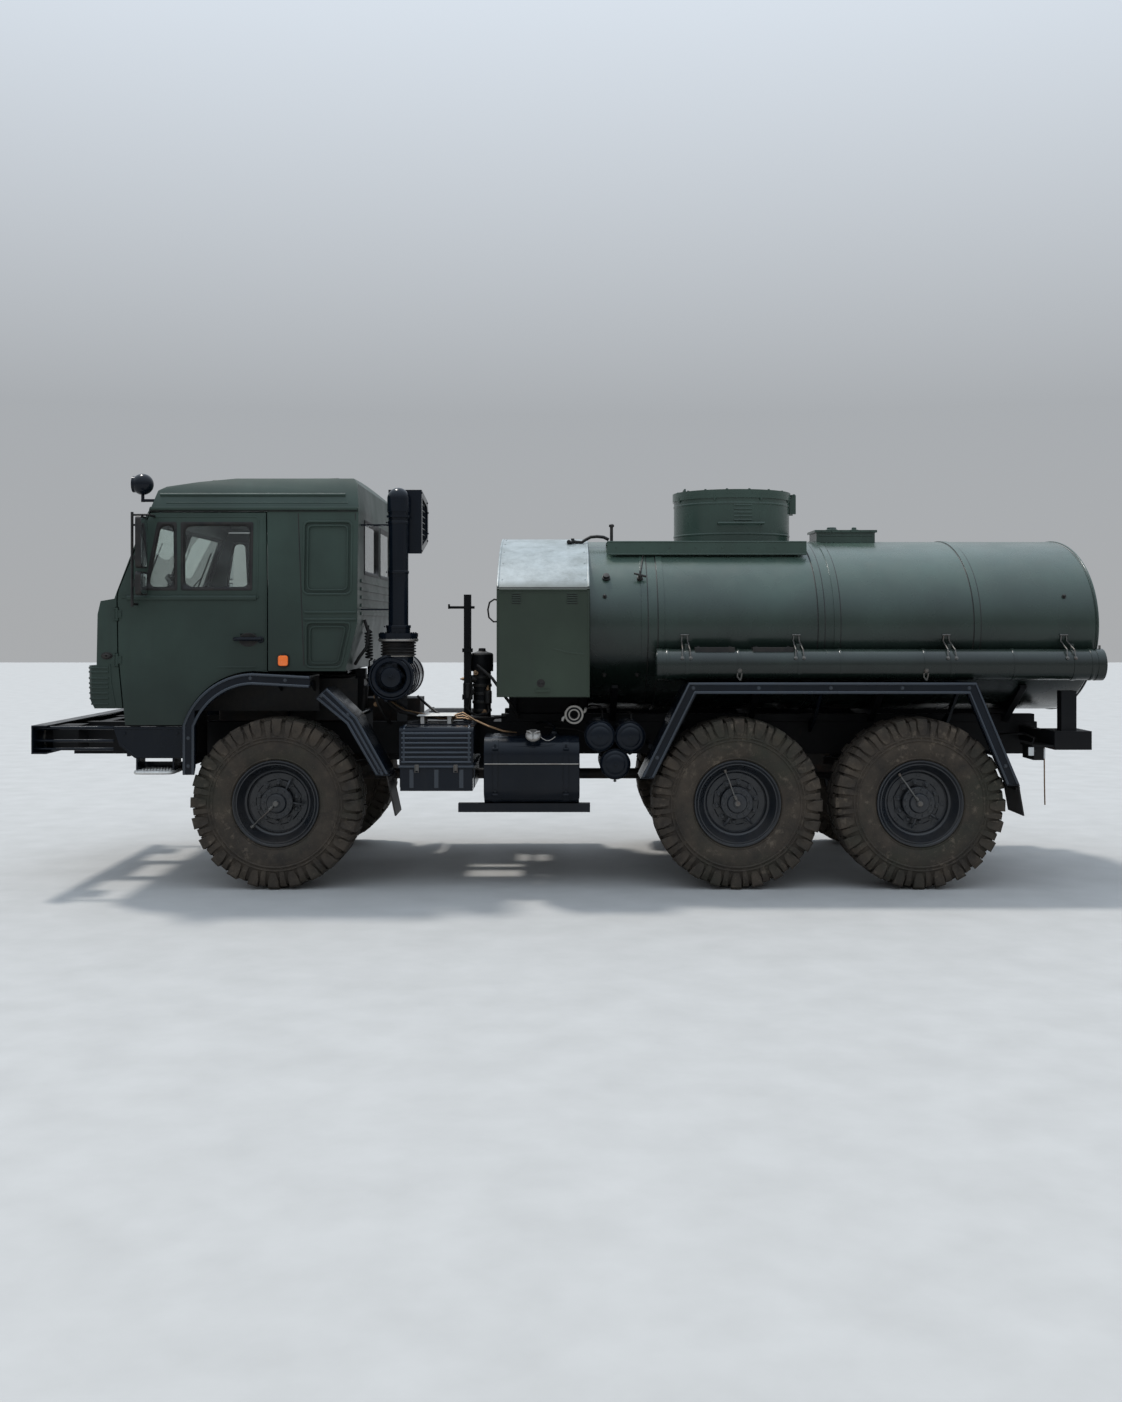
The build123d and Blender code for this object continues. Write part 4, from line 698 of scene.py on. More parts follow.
def tyre_form():
    """Tyre round the Y axis, its outer side towards -Y."""
    piece = Piece("tyre_form", "tyre", None)
    profile = [(-a, r) for a, r in TYRE_SIDE] + [(-0.07, 0.594), (0.07, 0.594)] + list(TYRE_SIDE[::-1])
    piece.lathe((0, 0, 0), ACROSS, profile + [(0.13, 0.299), (-0.13, 0.299)], 96, closed=True)
    pitch = 2 * pi / PITCHES
    for index in range(PITCHES):
        for sign in (LEFT, RIGHT):
            angle = (index + (0.0 if sign < 0 else 0.5)) * pitch
            odd = 0.03 * sin(index * 2.4 + sign)
            for shift, rows in LUGS:
                lug(piece.bm, angle + shift * pitch, pitch, sign, odd, rows)
    return piece.form()


def rim_form():
    """Rim, disc and hub round the Y axis, the outer side towards -Y."""
    piece = Piece("rim_form", "rim", None)
    # inner bead and well, outer bead with the disc, hub
    piece.lathe((0, 0, 0), LEFTWARD, [(-0.17, 0.3), (-0.172, 0.312), (-0.178, 0.31), (-0.176, 0.296),
        (-0.15, 0.288), (-0.12, 0.272), (-0.05, 0.262), (0.03, 0.262), (0.052, 0.24), (0.056, 0.222)], 64)
    piece.lathe((0, 0, 0), LEFTWARD, [(0.14, 0.298), (0.16, 0.302), (0.168, 0.311), (0.176, 0.315),
        (0.182, 0.311), (0.182, 0.303), (0.174, 0.298), (0.17, 0.292), (0.175, 0.288), (0.174, 0.281),
        (0.166, 0.277), (0.150, 0.272), (0.118, 0.252), (0.1, 0.243), (0.094, 0.235), (0.092, 0.226),
        (0.08, 0.222), (0.066, 0.219), (0.06, 0.21), (0.06, 0.168), (0.068, 0.16), (0.07, 0.12),
        (0.066, 0.113), (0.02, 0.113)], 64)
    piece.lathe((0, 0, 0), LEFTWARD, [(0.04, 0.113), (0.118, 0.113), (0.124, 0.118), (0.136, 0.118),
        (0.141, 0.113), (0.143, 0.075), (0.152, 0.07), (0.163, 0.066), (0.166, 0.058), (0.166, 0.03),
        (0.176, 0.028), (0.178, 0.02), (0.178, 0)], 48)
    for c, s in around(10, 0.12):
        place = Vector((0.142 * c, -0.07, 0.142 * s))
        piece.rod(place, place + Vector((0, -0.03, 0)), 0.012, 10)
        piece.bolt(place, LEFTWARD, 0.019, 0.02)
    for c, s in around(12):
        piece.bolt((0.096 * c, -0.142, 0.096 * s), LEFTWARD, 0.0095, 0.011)
    for c, s in around(8, shift=0.5):
        piece.lathe((0.193 * c, -0.061, 0.193 * s), LEFTWARD,
            [(0, 0.017), (0.003, 0.017), (0.003, 0.012), (-0.004, 0.011), (-0.004, 0)], 16)
    # two short pipes from the hub to the disc
    for turn in (-0.5, 0.5):
        a = -pi / 2 + turn
        foot = Vector((0.118 * cos(a), -0.12, 0.118 * sin(a)))
        knee = Vector((0.19 * cos(a + turn * 0.12), -0.105, 0.19 * sin(a + turn * 0.12)))
        piece.tube([foot, foot.lerp(knee, 0.5) + Vector((0, -0.012, 0)), knee], 0.009, 8)
    return piece.form()


def air_feed_form():
    """The steel pipe from the hub's swivel to the valve on the rim."""
    piece = Piece("air_feed_form", "feed", None)
    piece.rod((0, -0.165, 0), (0, -0.186, 0), 0.02, 16)
    piece.tube([(0, -0.178, 0.012), (-0.02, -0.18, 0.06), (-0.034, -0.172, 0.11), (-0.045, -0.15, 0.16),
        (-0.06, -0.128, 0.21), (-0.066, -0.128, 0.236)], 0.0055, 8)
    piece.rod((-0.066, -0.128, 0.225), (-0.07, -0.13, 0.25), 0.012, 10)
    piece.rod((-0.008, -0.18, 0.03), (-0.018, -0.181, 0.06), 0.012, 8)
    return piece.form()


def wheels():
    """Tyre, rim and air feed of each wheel; the rim and the feed stand at their own turn."""
    forms = (("tyre_", tyre_form()), ("rim_", rim_form()), ("feed_", air_feed_form()))
    for axle, degrees in (("front", -118), ("middle", -4), ("rear", -18)):
        for sign, side in SIDES:
            name = axle + "_" + side
            low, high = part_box("tyre_" + name)
            centre = Vector(((low.x + high.x) / 2, sign * WHEEL_Y, TYRE_R))
            facing = Matrix.Rotation(0 if sign < 0 else pi, 4, "Z")
            for kind, form in forms:
                turn = Matrix() if kind == "tyre_" else Matrix.Rotation(radians(degrees), 4, "Y")
                own = form.copy()
                own.transform(Matrix.Translation(centre) @ facing @ turn)
                stands = () if kind == "feed_" else (kind + name,)
                place_mesh(own, "look_" + kind + name, "wheel_" + name, 0.0, 32, stands)


wheels()


# Cab

CAB_HALF_Y = 1.2
# the side wall leans in above a height, by a share of the way up
LEAN_Z, LEAN = 2.15, 0.084


def cab_y(z):
    """Half width of the cab's side wall at a height."""
    return CAB_HALF_Y - max(0.0, z - LEAN_Z) * LEAN


def wall(sign, x, z, out=0.0):
    """Point on the cab's side wall."""
    return Vector((x, sign * (cab_y(z) + out), z))


def wall_path(sign, *places):
    """Points on the cab's side wall, by (x, z)."""
    return [wall(sign, x, z) for x, z in places]


def door_details(sign, side):
    """Window seals, sill trim, press lines, handle, lock and hinge bolts of a door."""
    body = "door_" + side
    flat, leaning = (0, sign, 0), (0, sign, LEAN)
    seals = Piece("seals_" + body, "rubber", body)
    for path in face_loops("door_glass_" + side, flat):
        seal(seals, path, leaning, 0.012, 0.016, 0.055)
    seals.done(40)
    trim = Piece("trim_" + body, "cab", body)
    # sill trim, press line, window frame, rear edge
    trim.bead(wall_path(sign, (-3.2, 2.108), (-2.268, 2.108)), flat, 0.034, 0.0135)
    trim.bead(wall_path(sign, (-2.548, 1.607), (-2.274, 1.607)), flat, 0.012, 0.003)
    trim.bead(wall_path(sign, (-2.262, 2.14), (-2.262, 2.672), (-2.27, 2.69), (-2.29, 2.698),
        (-3.02, 2.698)), leaning, 0.012, 0.004)
    trim.bead(wall_path(sign, (-2.205, 1.585), (-2.205, 2.14), (-2.219, 2.70)), leaning, 0.011, 0.0035)
    trim.done(50)
    dish = Piece("handle_dish_" + body, "rubber", body)
    dish.dome(wall(sign, -2.325, 1.806), oval(0.07, 0.05, 36), flat,
        [(1.0, -0.001), (1.0, 0.003), (0.94, 0.005), (0.86, 0.0035), (0.7, 0.001), (0.02, 0.0008)])
    dish.done(50)
    handle = Piece("handle_" + body, "gloss_black", body)
    handle.tube([wall(sign, x, 1.811, out) for x, out in (
        (-2.424, 0.0), (-2.42, 0.018), (-2.405, 0.026), (-2.36, 0.031), (-2.29, 0.031), (-2.245, 0.026),
        (-2.232, 0.016))], 0.0135, 12)
    handle.lathe(wall(sign, -2.236, 1.806), flat, [(0, 0.024), (0.012, 0.023), (0.016, 0.019),
        (0.016, 0.009), (0.02, 0.008), (0.02, 0)], 24)
    handle.done()
    hinges = Piece("hinge_bolts_" + body, "cab", body)
    for z in (1.66, 1.99):
        for dz in (-0.018, 0.018):
            hinges.bolt((-3.252, sign * 1.206, z + dz), flat, 0.005, 0.004)
    hinges.done()


def corner_path(z, sign, back, inward):
    """Line round the lower front corner at one height, with the outward direction at each point."""
    centre_x, centre_y, radius, edge_z = -3.4, 1.13, 0.09, 1.377
    # the front leans out with height, more below the edge than above it
    if z > edge_z:
        front = -3.469 - 0.021 * (z - edge_z) / 0.243
    else:
        front = -3.434 - 0.035 * (z - 1.31) / 0.067
    points = [(back, sign * CAB_HALF_Y, z), (-3.4566, sign * CAB_HALF_Y, z)]
    normals = [(0, sign, 0), (0, sign, 0)]
    reach = max(0.0, min(1.0, (centre_x - front) / radius))
    first, last = asin((CAB_HALF_Y - centre_y) / radius), acos(reach)
    if last < first:
        for k in range(7):
            t = first + (last - first) * k / 6
            points.append((centre_x - radius * cos(t), sign * (centre_y + radius * sin(t)), z))
            normals.append((-cos(t), sign * sin(t), 0))
    return points + [(front, sign * inward, z)], normals + [FORWARD]


def cab_details(sign, side):
    """Ribs, beads and seams of the cab's side, with its lamps."""
    flat, leaning, rising = (0, sign, 0), (0, sign, LEAN), (0, sign, 0.35)
    beads = Piece("cab_beads_" + side, "cab", "cab")
    # sleeper panels, upper and lower, with an outer and an inner line each
    upper = ((-1.925, 2.141), (-1.925, 2.657), (-1.59, 2.657), (-1.59, 2.141))
    lower = ((-1.905, 1.925), (-1.592, 1.925), (-1.662, 1.612), (-1.905, 1.612))
    for outline, off in ((upper, leaning), (lower, flat)):
        path = wall_path(sign, *outline)
        beads.bead(rounded(inset(path, -0.006), 0.045), off, 0.016, 0.006, closed=True)
        beads.bead(rounded(inset(path, 0.024), 0.04), off, 0.01, 0.004, closed=True)
    for z in (2.004, 1.953):
        beads.bead(wall_path(sign, (-1.92, z), (-1.55, z)), flat, 0.022, 0.008)
    # two ribs along the roof's side, then the gutter lip
    beads.bead(level_line(-2.99, -1.64, sign * 1.098, 2.862), rising, 0.02, 0.007)
    beads.bead(level_line(-2.94, -1.62, sign * 1.116, 2.80), rising, 0.012, 0.004)
    beads.bead(level_line(-3.045, -1.545, sign * 1.163, 2.757), flat, 0.022, 0.006)
    # ribbed corner panel
    for z in (1.603, 1.573, 1.528, 1.492, 1.46, 1.421, 1.382, 1.344):
        points, normals = corner_path(z, sign, -3.335, 0.86)
        beads.bead(points, normals, 0.015, 0.006)
    beads.bead(wall_path(sign, (-3.324, 1.628), (-3.318, 1.5), (-3.286, 1.33)), flat, 0.012, 0.006)
    beads.done(50)
    seams = Piece("cab_seams_" + side, "rubber", "cab")
    seams.bead(wall_path(sign, (-1.974, 2.722), (-1.945, 2.15), (-1.925, 1.62)),
        (0, sign, 0.04), 0.007, 0.0012)
    seams.bead(wall_path(sign, (-1.56, 2.722), (-1.555, 1.95)), (0, sign, 0.04), 0.006, 0.0012)
    seams.bead(level_line(-3.05, -1.545, sign * 1.158, 2.738), flat, 0.006, 0.001)
    # dark side repeater behind the corner
    place = Vector((-3.345, sign * CAB_HALF_Y, 1.69))
    outline = oval(0.034, 0.02, 28)
    seams.dome(place, outline, flat, [(1.0, 0.0), (1.0, 0.008), (0.86, 0.015), (0.6, 0.018), (0.25, 0.019)])
    seams.bead([place + p * 1.12 for p in outline], flat, 0.007, 0.006, closed=True)
    seams.done(40)
    marker = Piece("marker_lens_" + side, "amber", "cab", 0.002)
    square = rounded(rectangle(-0.036, 0.036, 0, -0.038, 0.038), 0.02)
    place = Vector((-2.072, sign * CAB_HALF_Y, 1.655))
    marker.dome(place, square, flat, [(1.0, 0.004), (1.0, 0.02), (0.92, 0.026), (0.6, 0.028), (0.2, 0.0285),
        (0.01, 0.0286)])
    marker.done(40)
    base = Piece("marker_base_" + side, "rubber", "cab")
    base.bead([place + p * 1.04 for p in square], flat, 0.01, 0.018, closed=True)
    for dz in (-0.045, 0.045):
        foot = place + Vector((0, 0, dz))
        base.rod(foot, foot + Vector((0, sign * 0.012, 0)), 0.011, 14)
    base.done()


def cab_front_details():
    """Windscreen and rear pane seals, wipers, press lines of the front, roof ribs and grille mesh."""
    seals = Piece("cab_seals", "rubber", "cab")
    for outward in ((-1, 0, 0.35), BACKWARD):
        for path in face_loops("cab_glass", outward, 0.8):
            seal(seals, path, outward, 0.014, 0.02, 0.07)
    for y in (-0.78, 0.02, 0.72):
        foot = Vector((-3.315, y, 2.112))
        seals.rod(foot + Vector((0.03, 0, -0.02)), foot + Vector((-0.012, 0, 0.012)), 0.016, 14)
        tip = Vector((-3.235, y + 0.3, 2.34))
        seals.tube([foot, foot.lerp(tip, 0.5) + Vector((-0.014, 0, 0.006)), tip], 0.006, 8)
        along = Vector((0.105, 0.0, 0.3)).normalized()
        blade = [tip + along * d + Vector((-0.002, 0.12 * d, 0)) for d in (-0.22, 0, 0.22)]
        seals.tube(blade, 0.007, 8)
    seals.done(40)
    panel = Piece("cab_front_beads", "cab", "cab")
    low, high = 1.345, 1.605
    path = [Vector((-3.469 - 0.021 * (z - 1.377) / 0.243, y, z)) for y, z in (
        (-0.84, low), (0.84, low), (0.84, high), (-0.84, high))]
    panel.bead(rounded(path, 0.04), FORWARD, 0.018, 0.008, closed=True)
    for y0, y1 in ((-1.05, -0.35), (-0.3, 0.3), (0.35, 1.05)):
        path = [Vector((-3.4155, y, z)) for y, z in ((y0, 1.7), (y1, 1.7), (y1, 1.95), (y0, 1.95))]
        panel.bead(rounded(path, 0.05), FORWARD, 0.014, 0.007, closed=True, sink=0.006)
    for y in (-0.7, 0, 0.7):
        panel.bead([(-3.0, y, 2.93), (-2.75, y, 2.968)], (-0.1, 0, 1), 0.03, 0.006)
    for sign in (LEFT, RIGHT):
        for y, z0, z1 in ((0.72, 3.0, 3.016), (0.36, 3.012, 3.022)):
            panel.bead([(-2.7, sign * y, z0), (-1.75, sign * y, z1)], UP, 0.03, 0.007, sink=0.02)
    panel.done(50)
    mesh = Piece("grille_mesh", "rubber", "cab")
    for row in range(6):
        for k in range(41):
            y, z = -0.8 + 0.04 * k, 1.38 + 0.04 * row
            for lean in (-0.018, 0.018):
                mesh.rod((-3.44, y + lean, z - 0.009), (-3.44, y - lean, z + 0.009), 0.0025, 6)
    mesh.done()


for sign, side in SIDES:
    door_details(sign, side)
    cab_details(sign, side)
cab_front_details()


def lenses(sign, side):
    """Headlamp lens and ring in the bumper, and the glass of the mirrors."""
    place = Vector((-3.868, sign * 0.93, 1.0875))
    ring = Piece("headlamp_ring_" + side, "steel")
    ring.lathe(place, FORWARD, [(-0.012, 0.098), (0.004, 0.098), (0.01, 0.093), (0.009, 0.086), (0.0, 0.083),
        (-0.012, 0.083)], closed=True)
    ring.done(50)
    lens = Piece("headlamp_lens_" + side, "clear")
    lens.lathe(place, FORWARD, [(-0.01, 0.0835), (0.001, 0.0825), (0.009, 0.07), (0.015, 0.048),
        (0.019, 0.024), (0.02, 0)])
    # upright ribs of the lens, shorter towards its sides
    for k in range(-4, 5):
        reach = (0.078 ** 2 - (0.016 * k) ** 2) ** 0.5 * 0.8
        middle = place + Vector((-0.0205 + 0.0019 * abs(k), 0.016 * k, 0))
        ends = [middle + Vector((0.008, 0, way * reach)) for way in (-1, 1)]
        lens.bead([ends[0], middle, ends[1]], FORWARD, 0.006, 0.003)
    lens.done(60)
    glass = Piece("mirror_glass_" + side, "mirror", "cab")
    for z0, z1 in ((2.33, 2.676), (2.136, 2.281)):
        path = rounded([Vector((-3.0445, sign * y, z)) for y, z in (
            (1.236, z0), (1.384, z0), (1.384, z1), (1.236, z1))], 0.03)
        middle = sum(path, Vector()) / len(path)
        glass.dome(middle, [p - middle for p in path], BACKWARD,
            [(1.0, -0.001), (1.0, 0.002), (0.97, 0.003), (0.5, 0.0032), (0.02, 0.0033)])
    glass.done(40)


for sign, side in SIDES:
    lenses(sign, side)


# Chassis equipment

STACK_XY = (-1.266, -1.0)


def clamp_band(piece, centre, axis, radius, width=0.016, thick=0.004):
    """A flat band round a drum."""
    piece.lathe(centre, axis, [(-width, radius - 0.003), (-width, radius + thick * 0.6),
        (-width * 0.7, radius + thick), (width * 0.7, radius + thick), (width, radius + thick * 0.6),
        (width, radius - 0.003)], 64)


def intake_details():
    """Bands and lid of the air cleaner, its rubber bellows and the stack's clamps and mesh."""
    x, z = -1.308, 1.53
    drum = Piece("cleaner_details", "gloss_black")
    drum.lathe((x, -1.096, z), LEFTWARD, [(-0.02, 0.166), (0.0, 0.168), (0.008, 0.166), (0.014, 0.158),
        (0.014, 0.146), (0.02, 0.14), (0.022, 0.118), (0.014, 0.11), (0.014, 0.078), (0.024, 0.07),
        (0.03, 0.045), (0.031, 0.0)], 72)
    for y in (-0.99, -0.7, -0.42):
        clamp_band(drum, (x, y, z), ACROSS, 0.165, 0.014, 0.006)
    for c, s in around(6, 0.3):
        out, along = Vector((c, 0, s)), Vector((-s, 0, c)) * 0.014
        foot = Vector((x, 0, z)) + out * 0.17
        drum.bead([foot + Vector((0, y, 0)) for y in (-1.1, -1.06, -1.02)], out, 0.022, 0.009)
        pin = foot + Vector((0, -1.05, 0)) + out * 0.008
        drum.rod(pin + along, pin - along, 0.006, 10)
    drum.bolt((x, -1.126, z), LEFTWARD, 0.013, 0.016)
    drum.block((x - 0.03, -1.142, z - 0.004), (x + 0.03, -1.132, z + 0.004))
    for c, s in around(8):
        drum.bolt((x + 0.128 * c, -1.118, z + 0.128 * s), LEFTWARD, 0.006, 0.006)
    drum.done()
    bellows = Piece("intake_bellows", "rubber")
    profile = [(0, 0.113)]
    for k in range(5):
        profile += [(k * 0.021 + rise, radius) for rise, radius in (
            (0.002, 0.116), (0.006, 0.128), (0.0105, 0.132), (0.015, 0.128), (0.019, 0.116))]
    bellows.lathe((*STACK_XY, 1.686), UP, profile + [(0.107, 0.113)], 56)
    bellows.done(60)
    ring = Piece("intake_rings", "steel")
    clamp_band(ring, (*STACK_XY, 1.69), UP, 0.113, 0.009, 0.005)
    clamp_band(ring, (*STACK_XY, 1.802), UP, 0.141, 0.008, 0.006)
    ring.done()
    stack = Piece("stack_details", "gloss_black", "cab")
    stack_x, stack_y = STACK_XY
    for z, radius in ((1.9, 0.087), (2.664, 0.073), (2.3, 0.073)):
        clamp_band(stack, (*STACK_XY, z), UP, radius, 0.011, 0.005)
        side = stack_x - radius - 0.012
        stack.rod((side, -1.02, z), (side, -0.98, z), 0.006, 8)
    for c, s in around(10):
        stack.bolt((stack_x + 0.127 * c, stack_y + 0.127 * s, 1.852), UP, 0.007, 0.007)
    # lattice in the hood's mouth, and the bolts round it
    for k in range(9):
        y = -0.88 + 0.05 * k
        stack.rod((-1.116, y, 2.53), (-1.116, y, 2.83), 0.003, 6)
    for k in range(7):
        z = 2.55 + 0.045 * k
        stack.rod((-1.114, -0.9, z), (-1.114, -0.49, z), 0.003, 6)
    for y, z in ((-0.94, 2.46), (-0.5, 2.56), (-0.46, 2.62), (-0.46, 2.78), (-0.52, 2.85), (-0.94, 2.89)):
        stack.bolt((-1.1, y, z), BACKWARD, 0.006, 0.006)
    stack.done()


def battery_details(sign, side):
    """Lid edge, latches and grips of the box behind the front wheel."""
    # the lid edge, ribs and grips use the painted highlight black
    box = Piece("box_details_" + side, "edge")
    flat, lid_z = (0, sign, 0), 0.889
    box.bead(level_line(-1.236, -0.705, sign * 1.19, lid_z), flat, 0.02, 0.012)
    for x, off in ((-1.2385, FORWARD), (-0.7025, BACKWARD)):
        box.bead([(x, sign * 1.19, lid_z), (x, sign * 0.42, lid_z)], off, 0.02, 0.008)
        box.bead([(x, sign * 1.1, 0.73), (x, sign * 1.1, 0.87)], off, 0.014, 0.006)
    for x in (-1.15, -0.97, -0.79):
        box.bead([(x, sign * 1.186, 0.735), (x, sign * 1.186, 0.868)], flat, 0.03, 0.007)
    y = sign * 1.194
    for x in (-1.205, -0.735):
        box.bead([(x, y, 0.93), (x, y, 1.12), (x, sign * 1.176, 1.16), (x, sign * 1.14, 1.176),
            (x, sign * 1.05, 1.177)], [flat, (0, sign, 0.1), (0, sign, 0.8), (0, sign * 0.4, 1),
            UP], 0.018, 0.009)
    for k in range(7):
        box.bead(level_line(-1.222, -0.718, y, 0.922 + 0.0345 * k), (0, sign, 0.3), 0.017, 0.009)
    box.done(40)
    latch = Piece("box_latches_" + side, "feed", bevel=0.001)
    near, far = y + sign * 0.014, y + sign * 0.02
    for x in (-1.11, -0.83):
        latch.side_block(sign, (x - 0.014, x + 0.014), (1.194, 1.206), (0.86, 0.905))
        latch.tube([(x - 0.012, near, 0.9), (x - 0.012, far, 0.85), (x + 0.012, far, 0.85),
            (x + 0.012, near, 0.9)], 0.0035, 8)
    latch.done()


def fuel_details(sign, side):
    """Filler cap with its chain, seam, strap bolts, drain and feed line of a fuel tank."""
    flat = (0, sign, 0)
    cap = Piece("fuel_cap_" + side, "steel")
    axis = Vector((0, sign * 0.643, 0.766))
    seat = Vector((-0.271, sign * 1.07, 0.97)) + axis * 0.192
    cap.lathe(seat, axis, [(-0.012, 0.055), (0.0, 0.057), (0.006, 0.055), (0.01, 0.05), (0.01, 0.036),
        (0.014, 0.03), (0.016, 0.0)], 40)
    across = Vector(BACKWARD)
    up = axis.cross(across)
    for c, s in around(3, 0.5):
        out = across * c + up * s
        cap.tube([seat + out * reach + axis * lift for reach, lift in (
            (0.008, 0.014), (0.03, 0.02), (0.053, 0.012))], 0.0065, 8)
    cap.bead(level_line(-0.622, 0.057, sign * 1.209, 0.91), flat, 0.008, 0.003)
    cap.tube([seat + Vector((0.05 + 0.022 * k, sign * 0.004,
        -0.01 - 0.03 * sin(pi * k / 5))) for k in range(6)], 0.0028, 6)
    cap.done()
    body = Piece("fuel_details_" + side, "gloss_black")
    for x in (-0.545, -0.034):
        for z in (0.69, 1.02):
            body.rod(*level_line(x - 0.02, x + 0.02, sign * 1.212, z), 0.009, 12)
            body.bolt((x, sign * 1.208, z + 0.022), flat, 0.007, 0.01)
        for edge in (x - 0.018, x + 0.018):
            body.bead([(edge, sign * 1.2055, 0.72), (edge, sign * 1.2055, 0.98)], flat, 0.005, 0.003)
    for x, off in ((-0.624, FORWARD), (0.059, BACKWARD)):
        ring = [Vector((x, sign * y, z)) for y, z in ((0.76, 0.65), (1.16, 0.65),
            (1.16, 1.06), (0.76, 1.06))]
        body.bead(rounded(ring, 0.1), off, 0.016, 0.006, closed=True)
    body.rod((-0.5, sign * 1.0, 0.622), (-0.5, sign * 1.0, 0.596), 0.016, 12)
    body.lathe((-0.12, sign * 0.93, 1.096), UP, [(0, 0.045), (0.01, 0.045), (0.014, 0.03), (0.03, 0.026),
        (0.032, 0)], 28)
    body.tube([(x, sign * y, z) for x, y, z in ((-0.12, 0.93, 1.12), (-0.12, 0.9, 1.16), (-0.16, 0.8, 1.18),
        (-0.22, 0.6, 1.17), (-0.26, 0.42, 1.15))], 0.008, 8)
    body.done()


def receiver_details():
    """Domed ends, bands, plugs and drains of the air bottles, and the lines between them."""
    ends = Piece("receiver_details", "gloss_black")
    for x, z in ((0.213, 1.103), (0.433, 1.098), (0.324, 0.9)):
        ends.lathe((x, -1.149, z), LEFTWARD, [(-0.004, 0.078), (0.004, 0.07), (0.01, 0.05), (0.013, 0.025),
            (0.014, 0)], 40)
        for y, radius, width, thick in ((-1.112, 0.1085, 0.006, 0.004), (-0.66, 0.1085, 0.006, 0.004),
                (-1.0, 0.1088, 0.015, 0.003), (-0.78, 0.1088, 0.015, 0.003)):
            clamp_band(ends, (x, y, z), ACROSS, radius, width, thick)
        ends.bolt((x, -1.162, z), LEFTWARD, 0.011, 0.012)
        ends.rod((x, -1.06, z - 0.105), (x, -1.06, z - 0.135), 0.008, 10)
        ends.rod((x - 0.014, -1.06, z - 0.128), (x + 0.014, -1.06, z - 0.128), 0.003, 6)
    ends.done()
    lines = Piece("air_lines", "cable")
    for x, z, lift in ((0.213, 1.103, 0.19), (0.433, 1.098, 0.15)):
        lines.tube([(x + 0.03, -0.68, z + 0.1), (x + 0.03, -0.67, z + 0.14), (x + 0.02, -0.62, z + lift),
            (x - 0.05, -0.52, z + lift), (x - 0.1, -0.42, z + lift - 0.03),
            (x - 0.12, -0.4, z + lift - 0.06)], 0.007, 8)
    lines.tube([(0.34, -0.63, 0.93), (0.3, -0.6, 1.0), (0.2, -0.52, 1.06), (0.05, -0.42, 1.1),
        (-0.2, -0.41, 1.12)], 0.007, 8)
    lines.done()


def coupling_details():
    """Claw ring of the hose coupling, its seal and the pipe's flange."""
    claw = Piece("coupling_claws", "steel")
    centre = Vector((0.025, -1.12, 1.26))
    claw.lathe(centre, LEFTWARD, [(-0.026, 0.062), (-0.026, 0.069), (0.0, 0.07), (0.004, 0.066),
        (0.004, 0.056), (-0.004, 0.052), (-0.004, 0.044), (0.002, 0.04), (0.002, 0.032), (-0.01, 0.0285),
        (-0.03, 0.0275), (-0.03, 0.05)], closed=True)
    for c, s in around(2, 0.2):
        out, turn = Vector((c, 0, s)), Vector((-s, 0, c))
        claw.tube([centre + out * reach + turn * way + Vector((0, y, 0)) for reach, way, y in (
            (0.06, 0.0, 0.012), (0.085, 0.01, 0.008), (0.092, 0.03, -0.002))], 0.011, 10)
    for c, s in around(6, 0.5):
        claw.bolt((centre.x + 0.047 * c, -1.06, centre.z + 0.047 * s), LEFTWARD, 0.006, 0.006)
    claw.done()


